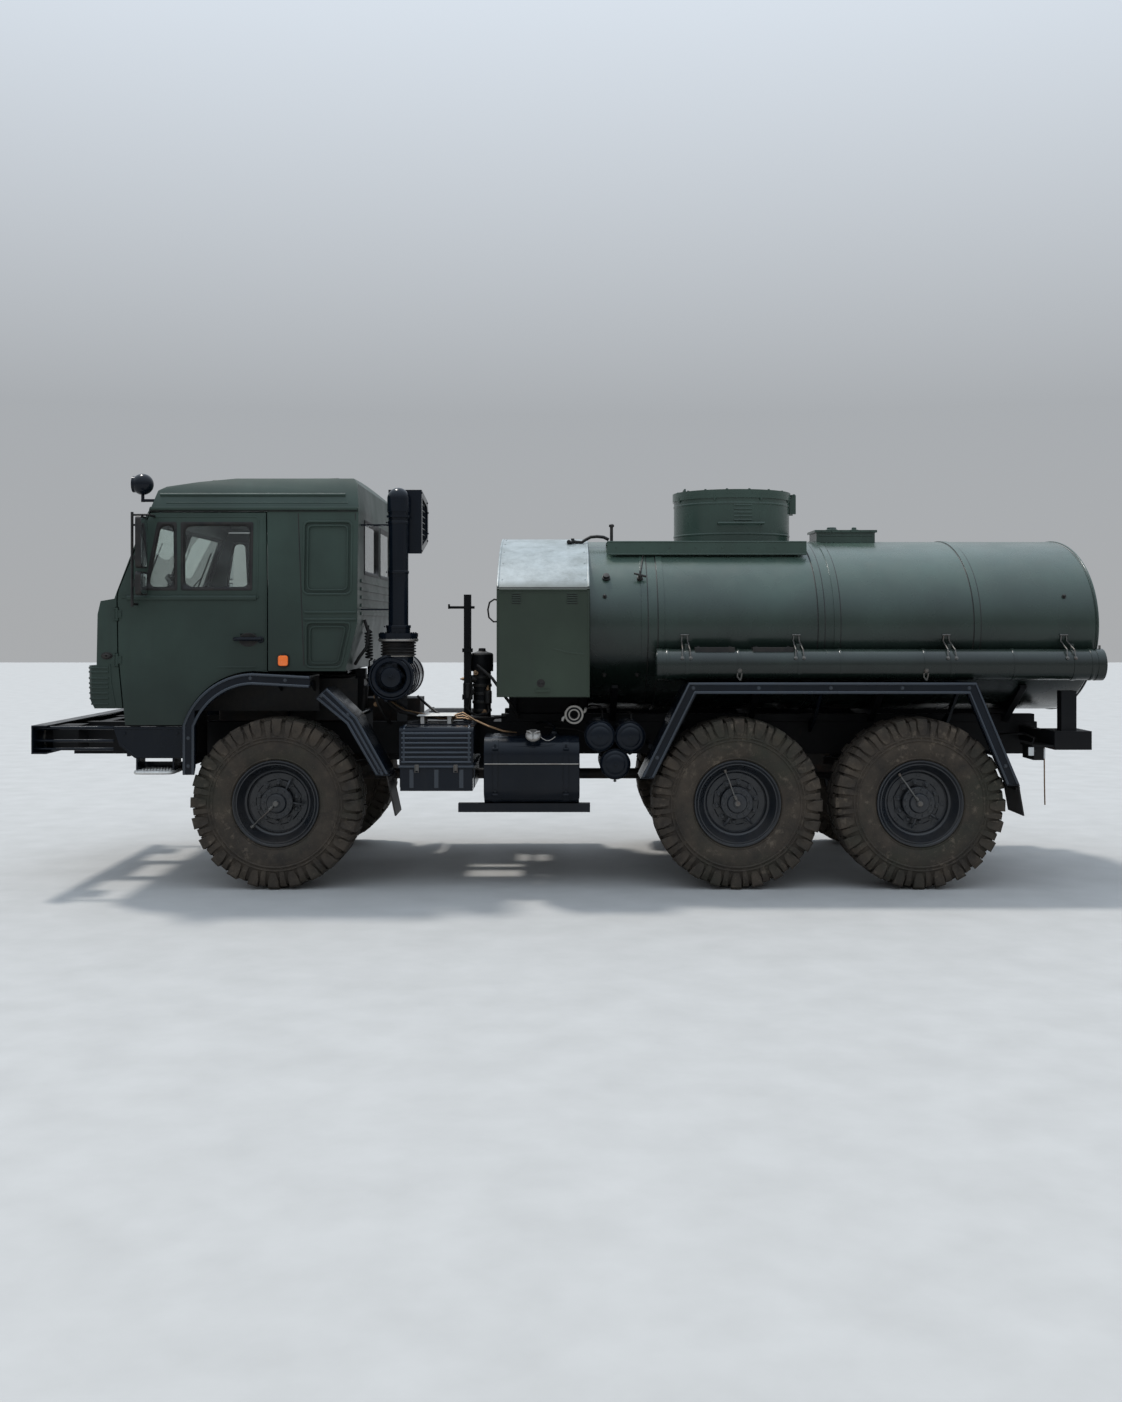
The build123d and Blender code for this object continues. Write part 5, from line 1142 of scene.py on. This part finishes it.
def post_details():
    """Valves, lines and fittings on the post in front of the cabinet."""
    x, y = -0.69, -0.305
    dark = Piece("post_valves", "rubber")
    for z in (1.245, 1.31, 1.375, 1.44, 1.505):
        clamp_band(dark, (x, y, z), UP, 0.07, 0.012, 0.007)
    dark.lathe((x, y, 1.68), UP, [(0, 0.088), (0.012, 0.08), (0.02, 0.05), (0.028, 0.03), (0.05, 0.026),
        (0.052, 0)], 36)
    dark.rod((x - 0.13, y - 0.03, 1.49), (x - 0.02, y - 0.03, 1.49), 0.03, 18)
    dark.rod((x - 0.11, y - 0.06, 1.34), (x - 0.11, y - 0.06, 1.46), 0.035, 18)
    dark.rod((x + 0.05, y - 0.07, 1.3), (x + 0.05, y - 0.07, 1.4), 0.03, 18)
    dark.tube([(x - 0.11, y - 0.06, 1.34), (x - 0.12, y - 0.08, 1.27), (x - 0.08, y - 0.12, 1.23),
        (x - 0.02, y - 0.1, 1.2)], 0.011, 8)
    dark.tube([(x + 0.05, y - 0.07, 1.3), (x + 0.06, y - 0.09, 1.24), (x + 0.02, y - 0.1, 1.2)], 0.009, 8)
    dark.tube([(-0.8, -0.34, 1.95), (-0.78, -0.4, 1.8), (-0.79, -0.38, 1.6), (-0.76, -0.4, 1.4),
        (-0.8, -0.4, 1.24)], 0.008, 8)
    # thin ring handle on the cabinet's front
    ring = [(-0.535, -0.62, 2.1), (-0.58, -0.62, 2.108), (-0.615, -0.62, 2.085), (-0.628, -0.62, 2.03),
        (-0.62, -0.62, 1.97), (-0.585, -0.62, 1.937), (-0.535, -0.62, 1.94)]
    dark.tube(ring, 0.007, 8)
    dark.done()
    post = Piece("post_bars", "frame", bevel=0.002)
    post.rod((-0.945, -0.366, 2.05), (-0.745, -0.366, 2.05), 0.011, 12)
    post.rod((-0.945, -0.366, 2.038), (-0.945, -0.366, 2.075), 0.008, 10)
    post.block((-0.84, -0.398, 1.33), (-0.76, -0.34, 1.37))
    post.block((-0.84, -0.398, 1.7), (-0.76, -0.34, 1.73))
    post.done()
    light = Piece("post_fittings", "copper")
    for place, axis in (((x - 0.045, y - 0.075, 1.54), (0, -1, 0.2)), ((x - 0.135, y - 0.03, 1.49), FORWARD),
            ((x + 0.05, y - 0.07, 1.405), UP), ((x - 0.11, y - 0.06, 1.465), UP),
            ((x + 0.02, y - 0.07, 1.235), LEFTWARD)):
        light.bolt(place, axis, 0.013, 0.02)
        light.rod(place, Vector(place) + Vector(axis).normalized() * 0.034, 0.007, 10)
    light.done()


def cable_runs():
    """Loose lines from the cab over the battery box to the tank, and the tray they lie on."""
    copper = Piece("cable_runs", "copper")
    for shift in (0.0, 0.022, 0.045):
        copper.tube([(-1.36, -0.62 - shift, 1.33), (-1.25, -0.68 - shift, 1.27),
            (-1.1, -0.74 - shift, 1.225 + shift * 0.4), (-0.95, -0.79 - shift, 1.21),
            (-0.8, -0.83 - shift, 1.215 + shift), (-0.7, -0.86 - shift, 1.2), (-0.62, -0.88 - shift, 1.165),
            (-0.5, -0.9 - shift, 1.125), (-0.4, -0.86, 1.11)], 0.006, 8)
    copper.done(60)
    black = Piece("hose_runs", "cable")
    black.tube([(-1.5, -0.5, 1.5), (-1.45, -0.55, 1.36), (-1.3, -0.6, 1.25), (-1.1, -0.62, 1.21),
        (-0.9, -0.6, 1.2), (-0.75, -0.5, 1.2), (-0.66, -0.42, 1.22)], 0.014, 10)
    black.tube([(-1.18, -0.45, 1.36), (-1.1, -0.55, 1.3), (-1.0, -0.66, 1.235), (-0.86, -0.72, 1.21),
        (-0.72, -0.7, 1.21), (-0.6, -0.6, 1.2), (-0.5, -0.45, 1.2)], 0.01, 8)
    black.tube([(-0.72, -0.45, 1.6), (-0.6, -0.5, 1.5), (-0.5, -0.52, 1.36), (-0.42, -0.5, 1.25),
        (-0.4, -0.42, 1.2)], 0.012, 8)
    black.done(60)
    tray = Piece("line_tray", "step", bevel=0.004)
    tray.block((-1.14, -0.93, 1.236), (-0.86, -0.6, 1.242))
    for x in (-1.1, -0.9):
        tray.block((x - 0.015, -0.9, 1.176), (x + 0.015, -0.64, 1.238))
    tray.done()


def coil(piece, top, bottom, radius, wire, turns):
    """A coiled line hanging between two heights."""
    steps = turns * 14
    top, bottom = Vector(top), Vector(bottom)
    points = [top + Vector((0, 0, 0.05)), top + Vector((0, 0, 0.02))]
    for k in range(steps + 1):
        a = 2 * pi * k / 14
        points.append(top.lerp(bottom, k / steps) + Vector((radius * cos(a), radius * sin(a), 0)))
    points += [bottom + Vector((0, 0, -0.02)), bottom + Vector((0, 0, -0.06))]
    piece.tube(points, wire, 6)


def cab_underside():
    """Lines and damper between the cab's rear and the frame."""
    lines = Piece("cab_lines", "cable", "cab")
    coil(lines, (-1.52, -0.76, 1.86), (-1.515, -0.75, 1.66), 0.026, 0.0065, 9)
    lines.tube([(-1.53, -0.9, 1.95), (-1.5, -0.91, 1.86), (-1.51, -0.92, 1.75), (-1.56, -0.93, 1.68),
        (-1.6, -0.9, 1.62)], 0.012, 8)
    lines.done(60)
    frame_lines = Piece("bridge_lines", "cable")
    frame_lines.tube([(-1.58, -0.38, 1.49), (-1.52, -0.5, 1.43), (-1.47, -0.56, 1.3), (-1.42, -0.52, 1.2),
        (-1.4, -0.41, 1.15)], 0.013, 8)
    frame_lines.rod((-1.62, -0.37, 1.2), (-1.6, -0.37, 1.44), 0.028, 16)
    frame_lines.done(60)
    light = Piece("bridge_fittings", "copper")
    for z in (1.3, 1.36, 1.42):
        light.bolt((-1.5, -0.49, z), LEFTWARD, 0.012, 0.02)
        light.rod((-1.5, -0.48, z), (-1.5, -0.395, z), 0.007, 8)
    light.done()


intake_details()
for sign, side in SIDES:
    battery_details(sign, side)
    fuel_details(sign, side)
receiver_details()
coupling_details()
post_details()
cable_runs()
cab_underside()


# Tank, cabinet and mudguards

MANHOLE_X = 1.305
NECK_R = 0.462
LID_Z = 2.965
# radius of the cabinet's top, from its half width and its rise
CABINET_R = (1.2 ** 2 + 0.435 ** 2) / (2 * 0.435)


def tank_point(x, z, sign, out=0.0):
    """Point on the tank's side at a height, and the way off the surface there."""
    high = (z - TANK_Z) / TANK_HALF_Z
    across = (1 - high * high) ** 0.5
    off = Vector((0, sign * across / TANK_HALF_Y, high / TANK_HALF_Z)).normalized()
    return Vector((x, sign * TANK_HALF_Y * across, z)) + off * out, off


def tank_ring(piece, x, width, height):
    """A bead round the tank's oval at one place along it."""
    ring, offs = [], []
    for c, s in around(96):
        ring.append(Vector((x, TANK_HALF_Y * c, TANK_Z + TANK_HALF_Z * s)))
        offs.append(Vector((0, c / TANK_HALF_Y, s / TANK_HALF_Z)).normalized())
    piece.bead(ring, offs, width, height, closed=True)


def cabinet_top_z(y):
    """Height of the cabinet's curved top."""
    return 2.6 - CABINET_R + (CABINET_R ** 2 - y * y) ** 0.5


# places of the seams as a share of the tank's length, each before or behind a band
SEAM_SHIFT = 0.0245
SEAMS = ((0.107, 1), (0.14, -1), (0.453, 1), (0.453, -1), (0.484, 1), (0.758, 1), (0.758, -1))


def tank_details():
    """Studs, plugs, lines, seams, end ring and rear weld ring of the tank."""
    studs = Piece("tank_fittings", "rubber")
    for sign in (LEFT, RIGHT):
        for x, z in ((0.251, 1.547), (0.495, 1.547), (0.251, 2.12), (3.62, 2.12)):
            studs.bolt(*tank_point(x, z, sign), 0.011, 0.022)
        studs.lathe(*tank_point(0.265, 2.258, sign), [(0, 0.03), (0.012, 0.03), (0.014, 0.024),
            (0.034, 0.022), (0.036, 0.0)], 24)
        place, off = tank_point(0.514, 2.251, sign)
        studs.lathe(place, off, [(0, 0.022), (0.02, 0.022), (0.022, 0.014), (0.05, 0.012), (0.05, 0)], 20)
        knob = place + off * 0.045
        for reach, radius in ((Vector((0.045, 0, -0.012)), 0.008), (Vector((0, 0, 0.03)), 0.006)):
            studs.rod(knob - reach, knob + reach, radius, 10)
        line = [tank_point(0.514 + 0.01 * k, 2.27 + 0.0425 * k, sign, 0.012)[0] for k in range(5)]
        studs.tube(line, 0.006, 8)
    # hose over the cabinet's top to the deck, by way along, way aside and lift
    y = -0.46
    top = cabinet_top_z(y)
    studs.tube([(x, y + aside, top + lift) for x, aside, lift in (
        (0.0, -0.02, 0.004), (0.02, 0, 0.02), (0.05, 0, 0.012), (0.09, 0, 0.01), (0.12, 0.005, 0.03),
        (0.16, 0.01, 0.052), (0.21, 0.01, 0.056), (0.26, 0, 0.05), (0.3, 0, 0.03))], 0.013, 10)
    studs.rod((-0.01, y - 0.04, top + 0.012), (-0.01, y + 0.04, top + 0.016), 0.016, 12)
    studs.rod((0.02, y, top - 0.01), (0.02, y, top + 0.04), 0.014, 12)
    studs.done(50)
    seams = Piece("tank_seams", "rubber")
    for share, way in SEAMS:
        tank_ring(seams, tank_low.x + share * (tank_high.x - tank_low.x) + way * SEAM_SHIFT, 0.009, 0.002)
    seams.done(50)
    end = Piece("tank_end_rings", "tank")
    tank_ring(end, 3.85, 0.014, 0.006)
    end.done(50)
    rear = Piece("tank_rear_details", "tank")
    loop = [Vector((3.874, TANK_HALF_Y * 0.82 * c, TANK_Z + TANK_HALF_Z * 0.8 * s)) for c, s in around(72)]
    rear.bead(loop, BACKWARD, 0.05, 0.014, closed=True)
    rear.done(50)


def deck_details(sign, side):
    """Tread pattern, edge lines, bolts and breather of the walkway beside the neck."""
    flat = (0, sign, 0)
    tread = Piece("deck_tread_" + side, "tank")
    for row in range(5):
        y = 0.41 + 0.058 * row
        for k in range(38):
            x = 0.31 + 0.039 * k
            if (x - MANHOLE_X) ** 2 + y ** 2 < 0.5 ** 2 or x > 1.77:
                continue
            lean = 0.009 if (row + k) % 2 else -0.009
            tread.bead([(x + way * 0.011, sign * (y + way * lean), 2.548) for way in (-1, 1)],
                UP, 0.006, 0.0022)
    for z in (2.543, 2.449):
        tread.bead(level_line(0.283, 1.787, sign * 0.7, z), flat, 0.01, 0.004)
    for k in range(8):
        tread.bolt((0.35 + 0.2 * k, sign * 0.7, 2.5), flat, 0.006, 0.006)
    tread.done(50)
    if sign == LEFT:
        post = Piece("breather", "rubber")
        post.rod((0.319, -0.52, 2.54), (0.319, -0.52, 2.672), 0.012, 14)
        post.lathe((0.319, -0.52, 2.665), UP, [(0, 0.012), (0.002, 0.02), (0.018, 0.02), (0.024, 0.012),
            (0.026, 0)], 20)
        post.done()


def neck_details():
    """Rim bolts, ribs and grip of the lid, bands and lugs of the neck, and fittings of the vent box."""
    lid = Piece("lid_details", "tank", "manhole_lid")
    # no bolts beside the hinge
    for c, s in around(16, shift=0.5)[1:-1]:
        lid.bolt((MANHOLE_X + 0.445 * c, 0.445 * s, LID_Z), UP, 0.009, 0.009)
    for radius in (0.36, 0.2):
        ring = [Vector((MANHOLE_X + radius * c, radius * s, LID_Z)) for c, s in around(64)]
        lid.bead(ring, UP, 0.018, 0.006, closed=True)
    lid.tube([(0.93, -0.07, 2.96), (0.925, -0.07, 2.998), (0.925, 0.07, 2.998),
        (0.93, 0.07, 2.96)], 0.008, 10)
    lid.done(50)
    neck = Piece("neck_details", "tank")
    for z in (2.62, 2.86):
        clamp_band(neck, (MANHOLE_X, 0, z), UP, NECK_R, 0.008, 0.004)
    for c, s in around(8, 0.39):
        out = Vector((c, s, 0))
        foot = Vector((MANHOLE_X, 0, 0)) + out * (NECK_R + 0.002)
        neck.bead([foot + Vector((0, 0, z)) for z in (2.885, 2.925)], out, 0.016, 0.012)
    neck.done(50)
    vent = Piece("vent_details", "tank")
    for k in range(6):
        vent.bolt((1.99 + 0.076 * k, -0.246, 2.6535), LEFTWARD, 0.005, 0.004)
    vent.bead(level_line(1.97, 2.39, -0.235, 2.62), LEFTWARD, 0.012, 0.004)
    for x, wide, narrow, top in ((2.1, 0.05, 0.04, 0.036), (2.28, 0.035, 0.02, 0.018)):
        vent.lathe((x, -0.08, 2.663), UP, [(0, wide), (0.012, wide), (0.016, narrow), (0.03, top),
            (0.034, 0)], 28)
    vent.done(50)


def neck_ribs():
    """Short ribs pressed in the manhole neck's left side."""
    ribs = Piece("neck_ribs", "tank")
    for k in range(5):
        middle = Vector((MANHOLE_X, 0, 2.727 + 0.029 * k))
        offs = []
        for step in range(9):
            share = (1.271 + 0.139 * step / 8 - MANHOLE_X) / NECK_R
            offs.append(Vector((share, -(1 - share ** 2) ** 0.5, 0)))
        ribs.bead([middle + off * (NECK_R - 0.001) for off in offs], offs, 0.013, 0.006)
    ribs.done(60)


def tube_details(sign, side):
    """End caps, bands, pads, toggle clamps and clamp bolts of a hose tube."""
    y, z, radius = sign * 1.134, 1.625, 0.112
    caps = Piece("tube_caps_" + side, "tank")
    for x, off in ((0.623, FORWARD), (3.854, BACKWARD)):
        caps.lathe((x, y, z), off, [(-0.004, 0.1), (0.003, 0.098), (0.008, 0.085), (0.008, 0.04),
            (0.004, 0.03), (0.004, 0)], 40)
    for x in (0.7, 1.214, 1.95, 2.555, 3.2, 3.76):
        clamp_band(caps, (x, y, z), BACKWARD, radius, 0.012, 0.004)
    caps.done(50)
    pads = Piece("tube_pads_" + side, "rubber", bevel=0.002)
    top = z + radius + 0.014
    for x0, x1 in ((0.897, 1.185), (1.315, 1.61)):
        pads.side_block(sign, (x0, x1), (1.104, 1.198), (z + 0.082, top))
        for x in (x0 + 0.03, x1 - 0.03):
            pads.bolt((x, y, top), UP, 0.01, 0.008)
    pads.done()
    clamps = Piece("tube_clamps_" + side, "feed", bevel=0.001)
    for x in (0.832, 1.647, 2.742, 3.6):
        for way in (-1, 1):
            hook = tank_point(x + way * 0.018, z + 0.215, sign, 0.005)[0]
            clamps.tube([(x + way * 0.03, y + sign * 0.1, z + 0.065),
                (x + way * 0.026, y + sign * 0.085, z + 0.11), (x + way * 0.022, hook.y, z + 0.17),
                hook], 0.0055, 8)
            clamps.bolt((x + way * 0.03, y + sign * 0.106, z + 0.05), (0, sign, 0.4), 0.009, 0.009)
        clamps.rod(*(tank_point(x + d, z + 0.215, sign, 0.006)[0] for d in (-0.03, 0.03)), 0.0065, 10)
    for x in (1.214, 2.555):
        for way in (-1, 1):
            clamps.tube([(x + way * 0.016, y + sign * 0.1, z - 0.055),
                (x + way * 0.014, y + sign * 0.09, z - 0.085),
                (x + 0.006, y + sign * 0.088, z - 0.112)], 0.006, 8)
        clamps.bolt((x, y + sign * 0.108, z - 0.04), (0, sign, -0.3), 0.011, 0.012)
    clamps.rod((3.84, y, z + 0.115), (3.84, y, z + 0.14), 0.008, 10)
    clamps.done()


def cabinet_details(sign, side):
    """Louvres, handle, edge folds and hinge line of a cabinet side."""
    body = "flap_" + side
    y, flat = sign * 1.2, (0, sign, 0)
    folds = Piece("flap_folds_" + side, "cabinet", body)
    dark = Piece("flap_slots_" + side, "rubber", body)
    folds.bead(inset(rectangle(-0.53, 0.132, y, 1.397, 2.152), 0.004), flat, 0.01, 0.0035, closed=True)
    for x0, x1 in ((-0.425, -0.36), (-0.028, 0.05)):
        for k in range(5):
            z = 2.074 + 0.0165 * k
            folds.bead(level_line(x0, x1, y, z), (0, sign, 0.6), 0.009, 0.005)
            dark.bead(level_line(x0 + 0.003, x1 - 0.003, y, z - 0.0075), flat, 0.004, 0.0012)
    # pressed crease low on the rear half
    folds.bead(side_points(y, (-0.13, 1.74), (-0.06, 1.722), (0.02, 1.708), (0.1, 1.7)), flat, 0.014, 0.0025)
    folds.done(60)
    dark.lathe((-0.215, y, 1.492), flat, [(0, 0.03), (0.002, 0.03), (0.002, 0.02), (0.008, 0.019),
        (0.009, 0)], 24)
    dark.bead(level_line(-0.235, -0.195, y, 1.492), flat, 0.008, 0.014)
    dark.done()
    line = Piece("cabinet_line_" + side, "rubber")
    line.bead(level_line(-0.534, 0.136, sign * 1.178, 2.1815), (0, sign, 0.4), 0.008, 0.004)
    line.done()


def cabinet_skin():
    """Seams and rivets of the cabinet's top."""
    seam = Piece("cabinet_seams", "cabinet")
    middle = cabinet_top_z(0) - CABINET_R
    for x in (-0.528, 0.13):
        points = [Vector((x, y, cabinet_top_z(y))) for y in (-1.17 + 2.34 * k / 32 for k in range(33))]
        seam.bead(points, [Vector((0, p.y, p.z - middle)).normalized() for p in points], 0.016, 0.004)
    for k in range(12):
        y = -1.1 + 0.2 * k
        z = cabinet_top_z(y)
        for x in (-0.5, 0.105):
            seam.bolt((x, y, z), (0, y, z - middle), 0.0045, 0.003)
    seam.done(60)


def arc_points(a, b, c, steps):
    """Points on the circle through three places of a side view."""
    (ax, az), (bx, bz), (cx, cz) = a, b, c
    far_a, far_b, far_c = ax ** 2 + az ** 2, bx ** 2 + bz ** 2, cx ** 2 + cz ** 2
    d = 2 * (ax * (bz - cz) + bx * (cz - az) + cx * (az - bz))
    middle = Vector(((far_a * (bz - cz) + far_b * (cz - az) + far_c * (az - bz)) / d,
        (far_a * (cx - bx) + far_b * (ax - cx) + far_c * (bx - ax)) / d))
    first, last = Vector(a) - middle, Vector(c) - middle
    turn = first.angle_signed(last)
    return [middle + Matrix.Rotation(-turn * k / steps, 2) @ first for k in range(steps + 1)]


def guard_details(sign, side):
    """Edge beads, bolts, slot and dark inner sheets of the mudguards; the sheets stand as painted shade in
    the gaps.
    """
    y, flat, rising = sign * 1.25, (0, sign, 0), (0, sign, 0.35)
    # the edge beads use the painted highlight black
    beads = Piece("guard_beads_" + side, "edge")
    arch = arc_points((-2.786, 1.19), (-2.614, 1.446), (-2.286, 1.567), 18)
    outer = [Vector((-2.786, 0.84)), *arch, Vector((-1.876, 1.545))]
    for shift in (0.011, 0.074):
        path = []
        for i, p in enumerate(outer):
            along = (outer[min(i + 1, len(outer) - 1)] - outer[max(i - 1, 0)]).normalized()
            path.append((p.x + along.y * shift, y, p.y - along.x * shift))
        beads.bead(path, rising, 0.021, 0.009)
    rear = side_points(y, (-1.752, 1.463), (-1.532, 1.247), (-1.301, 0.829), (-1.398, 0.829), (-1.611, 1.2),
        (-1.833, 1.385))
    beads.bead(inset(rear, 0.011), rising, 0.02, 0.009, closed=True)
    beads.bead(side_points(y, (-1.79, 1.42), (-1.572, 1.222), (-1.35, 0.835)), flat, 0.02, 0.008)
    bogie = side_points(y, (0.501, 0.807), (0.845, 1.5), (2.915, 1.5), (3.225, 0.757), (3.131, 0.757),
        (2.858, 1.416), (0.897, 1.416), (0.595, 0.807))
    beads.bead(inset(bogie, 0.011), rising, 0.021, 0.009, closed=True)
    for place in side_points(y, (0.88, 1.46), (1.35, 1.46), (1.867, 1.46), (2.38, 1.46), (2.86, 1.46),
            (0.62, 0.96), (3.12, 0.9), (-2.3, 1.53), (-2.05, 1.515), (-2.745, 1.1), (-2.745, 0.9),
            (-1.6, 1.27), (-1.37, 0.87), (-1.79, 1.405)):
        beads.bolt(place, flat, 0.009, 0.008)
    beads.done(50)
    slot = Piece("guard_slots_" + side, "rubber")
    slot.bead(side_points(y, (-2.2, 1.495), (-2.09, 1.49)), flat, 0.012, 0.0012)
    slot.done()
    # dark sheets beside the engine, in front of the wheel and behind it: painted shade for the shadowed
    # clutter in those gaps
    sheet = Piece("arch_sheets_" + side, "rubber")
    sheet.side_block(sign, (-2.93, -1.9), (0.7, 0.704), (1.262, 1.545))
    sheet.side_block(sign, (-2.806, -2.8), (0.5, 1.15), (0.87, 1.44))
    sheet.side_block(sign, (-1.96, -1.64), (0.5, 0.504), (1.18, 1.5))
    sheet.done()


def step_details(sign, side):
    """Tread steel, folds and bolts of the entry step."""
    y, flat = sign * 1.188, (0, sign, 0)
    panel = Piece("step_details_" + side, "gloss_black")
    panel.bead(level_line(-3.29, -2.8, y, 1.165), flat, 0.014, 0.005)
    panel.bead(side_points(y, (-3.245, 1.05), (-3.14, 0.962), (-2.8, 0.962)), flat, 0.012, 0.005)
    for x in (-3.22, -2.84):
        panel.bolt((x, y, 1.13), flat, 0.009, 0.009)
    panel.done(50)
    tread = Piece("step_tread_" + side, "step")
    top = 0.8645
    for k in range(11):
        x = -3.11 + 0.022 * k
        for row in range(5):
            place = (x + (0.011 if row % 2 else 0), sign * (1.02 + 0.045 * row), top)
            tread.lathe(place, UP, [(-0.001, 0.0085), (0.003, 0.007), (0.004, 0.004),
                (0.001, 0.003), (0.0, 0)], 12)
    plate = rounded([Vector((x, sign * w, 0.0)) for x, w in (
        (-3.136, 0.975), (-3.136, 1.247), (-2.867, 1.247), (-2.867, 0.975))], 0.06)
    tread.strip([[Vector((p.x, p.y, z)) for p in plate] for z in (0.8595, top)])
    tread.bm.faces.new([tread.bm.verts.new((p.x, p.y, top)) for p in plate])
    rim = [Vector((x, sign * w, 0.8505)) for x, w in ((-3.139, 0.98), (-3.139, 1.25), (-2.864, 1.25),
        (-2.864, 0.98))]
    tread.tube(rounded(rim, 0.06), 0.0125, 8)
    tread.done(50)


def rear_details(sign, side):
    """Tail lamp lenses, their cable, the buffer's bolts and the flap's clamp strips."""
    for kind, material, y in (("tail_lens_", "red", (0.95, 1.06)), ("tail_amber_", "amber", (1.065, 1.12)),
            ("tail_clear_", "clear", (1.125, 1.172))):
        lens = Piece(kind + side, material, bevel=0.002)
        lens.side_block(sign, (3.418, 3.434), y, (0.945, 1.02))
        if material == "clear":
            lens.side_block(sign, (3.3, 3.34), (1.198, 1.206), (0.97, 1.03))
        lens.done()
    dark = Piece("tail_details_" + side, "rubber")
    dark.rod((3.32, sign * 1.17, 1.0), (3.32, sign * 1.2, 1.0), 0.016, 12)
    dark.rod((3.32, sign * 1.17, 1.0), (3.36, sign * 1.17, 1.0), 0.012, 10)
    dark.tube([(x, sign * y, z) for x, y, z in ((3.4, 1.0, 1.04), (3.42, 0.98, 1.08), (3.4, 0.8, 1.1),
        (3.36, 0.55, 1.08), (3.33, 0.41, 1.06))], 0.007, 8)
    dark.done(50)
    steel = Piece("flap_clamps_" + side, "frame", bevel=0.0015)
    for x, z in ((3.207, 0.735), (-1.312, 0.806)):
        steel.side_block(sign, (x - 0.006, x + 0.024), (0.92, 1.23), (z - 0.014, z + 0.014))
        for k in range(4):
            steel.bolt((x + 0.024, sign * (0.96 + 0.08 * k), z), BACKWARD, 0.008, 0.008)
    steel.done()


def earthing_strap():
    """Thin strap that hangs from the rear frame."""
    strap = Piece("earthing_strap", "copper")
    strap.bead([(3.456, -1.08, 1.03), (3.456, -1.084, 0.9), (3.458, -1.082, 0.75), (3.46, -1.085, 0.6)],
        BACKWARD, 0.016, 0.004)
    strap.done(60)


tank_details()
neck_details()
neck_ribs()
cabinet_skin()
earthing_strap()
for sign, side in SIDES:
    deck_details(sign, side)
    tube_details(sign, side)
    cabinet_details(sign, side)
    guard_details(sign, side)
    step_details(sign, side)
    rear_details(sign, side)


# Camera, light and floor

CAMERA = Vector((-0.07, -11.2, 1.91))
HORIZON = -0.054
FLOOR_HALF = 60


def sky():
    """Pale sky, bluer and brighter overhead."""
    world = bpy.data.worlds.new("sky")
    world.use_nodes = True
    tree = world.node_tree
    tree.nodes.clear()
    out = tree.nodes.new("ShaderNodeOutputWorld")
    back = tree.nodes.new("ShaderNodeBackground")
    coord = tree.nodes.new("ShaderNodeTexCoord")
    split = tree.nodes.new("ShaderNodeSeparateXYZ")
    ramp = tree.nodes.new("ShaderNodeValToRGB")
    strength = tree.nodes.new("ShaderNodeMapRange")
    stops = ((0.0, (0.8, 0.82, 0.84, 1)), (0.7, (0.76, 0.87, 1.0, 1)))
    for element, (position, color) in zip(ramp.color_ramp.elements, stops):
        element.position = position
        element.color = color
    for name, value in (("From Min", 0.15), ("From Max", 0.95), ("To Min", 0.5), ("To Max", 1.7)):
        strength.inputs[name].default_value = value
    for source, target in ((back.outputs[0], out.inputs[0]), (coord.outputs["Generated"], split.inputs[0]),
            (split.outputs["Z"], ramp.inputs[0]), (ramp.outputs[0], back.inputs[0]),
            (split.outputs["Z"], strength.inputs["Value"]), (strength.outputs[0], back.inputs[1])):
        tree.links.new(source, target)
    return world


def stage():
    """Plain floor, soft light and a camera where the photograph was taken."""
    scene = bpy.context.scene
    camera = bpy.data.objects.new("camera", bpy.data.cameras.new("camera"))
    camera.location = CAMERA
    camera.rotation_euler = (pi / 2, 0, 0)
    camera.data.lens = 35.6
    camera.data.sensor_width = 36
    camera.data.shift_y = HORIZON
    camera.data.clip_end = 200
    scene.collection.objects.link(camera)
    scene.camera = camera

    floor_mesh = bpy.data.meshes.new("floor")
    corners = [(x * FLOOR_HALF, y * FLOOR_HALF, 0) for x, y in ((-1, -1), (1, -1), (1, 1), (-1, 1))]
    floor_mesh.from_pydata(corners, [], [(0, 1, 2, 3)])
    floor = bpy.data.objects.new("floor", floor_mesh)
    g = Graph("floor_paint")
    tone = g.mix(g.span(g.noise(3, 5), 0.3, 0.7), (0.36, 0.355, 0.345), (0.4, 0.395, 0.385))
    floor_mesh.materials.append(g.finish(Base_Color=tone, Roughness=0.85))
    scene.collection.objects.link(floor)
    scene.world = sky()

    sun = bpy.data.objects.new("sun", bpy.data.lights.new("sun", "SUN"))
    sun.data.energy = 2.2
    sun.data.angle = radians(6)
    sun.data.color = (1, 0.97, 0.92)
    sun.rotation_euler = (radians(-20), radians(-14), 0)
    scene.collection.objects.link(sun)

    scene.view_settings.view_transform = "Standard"


stage()
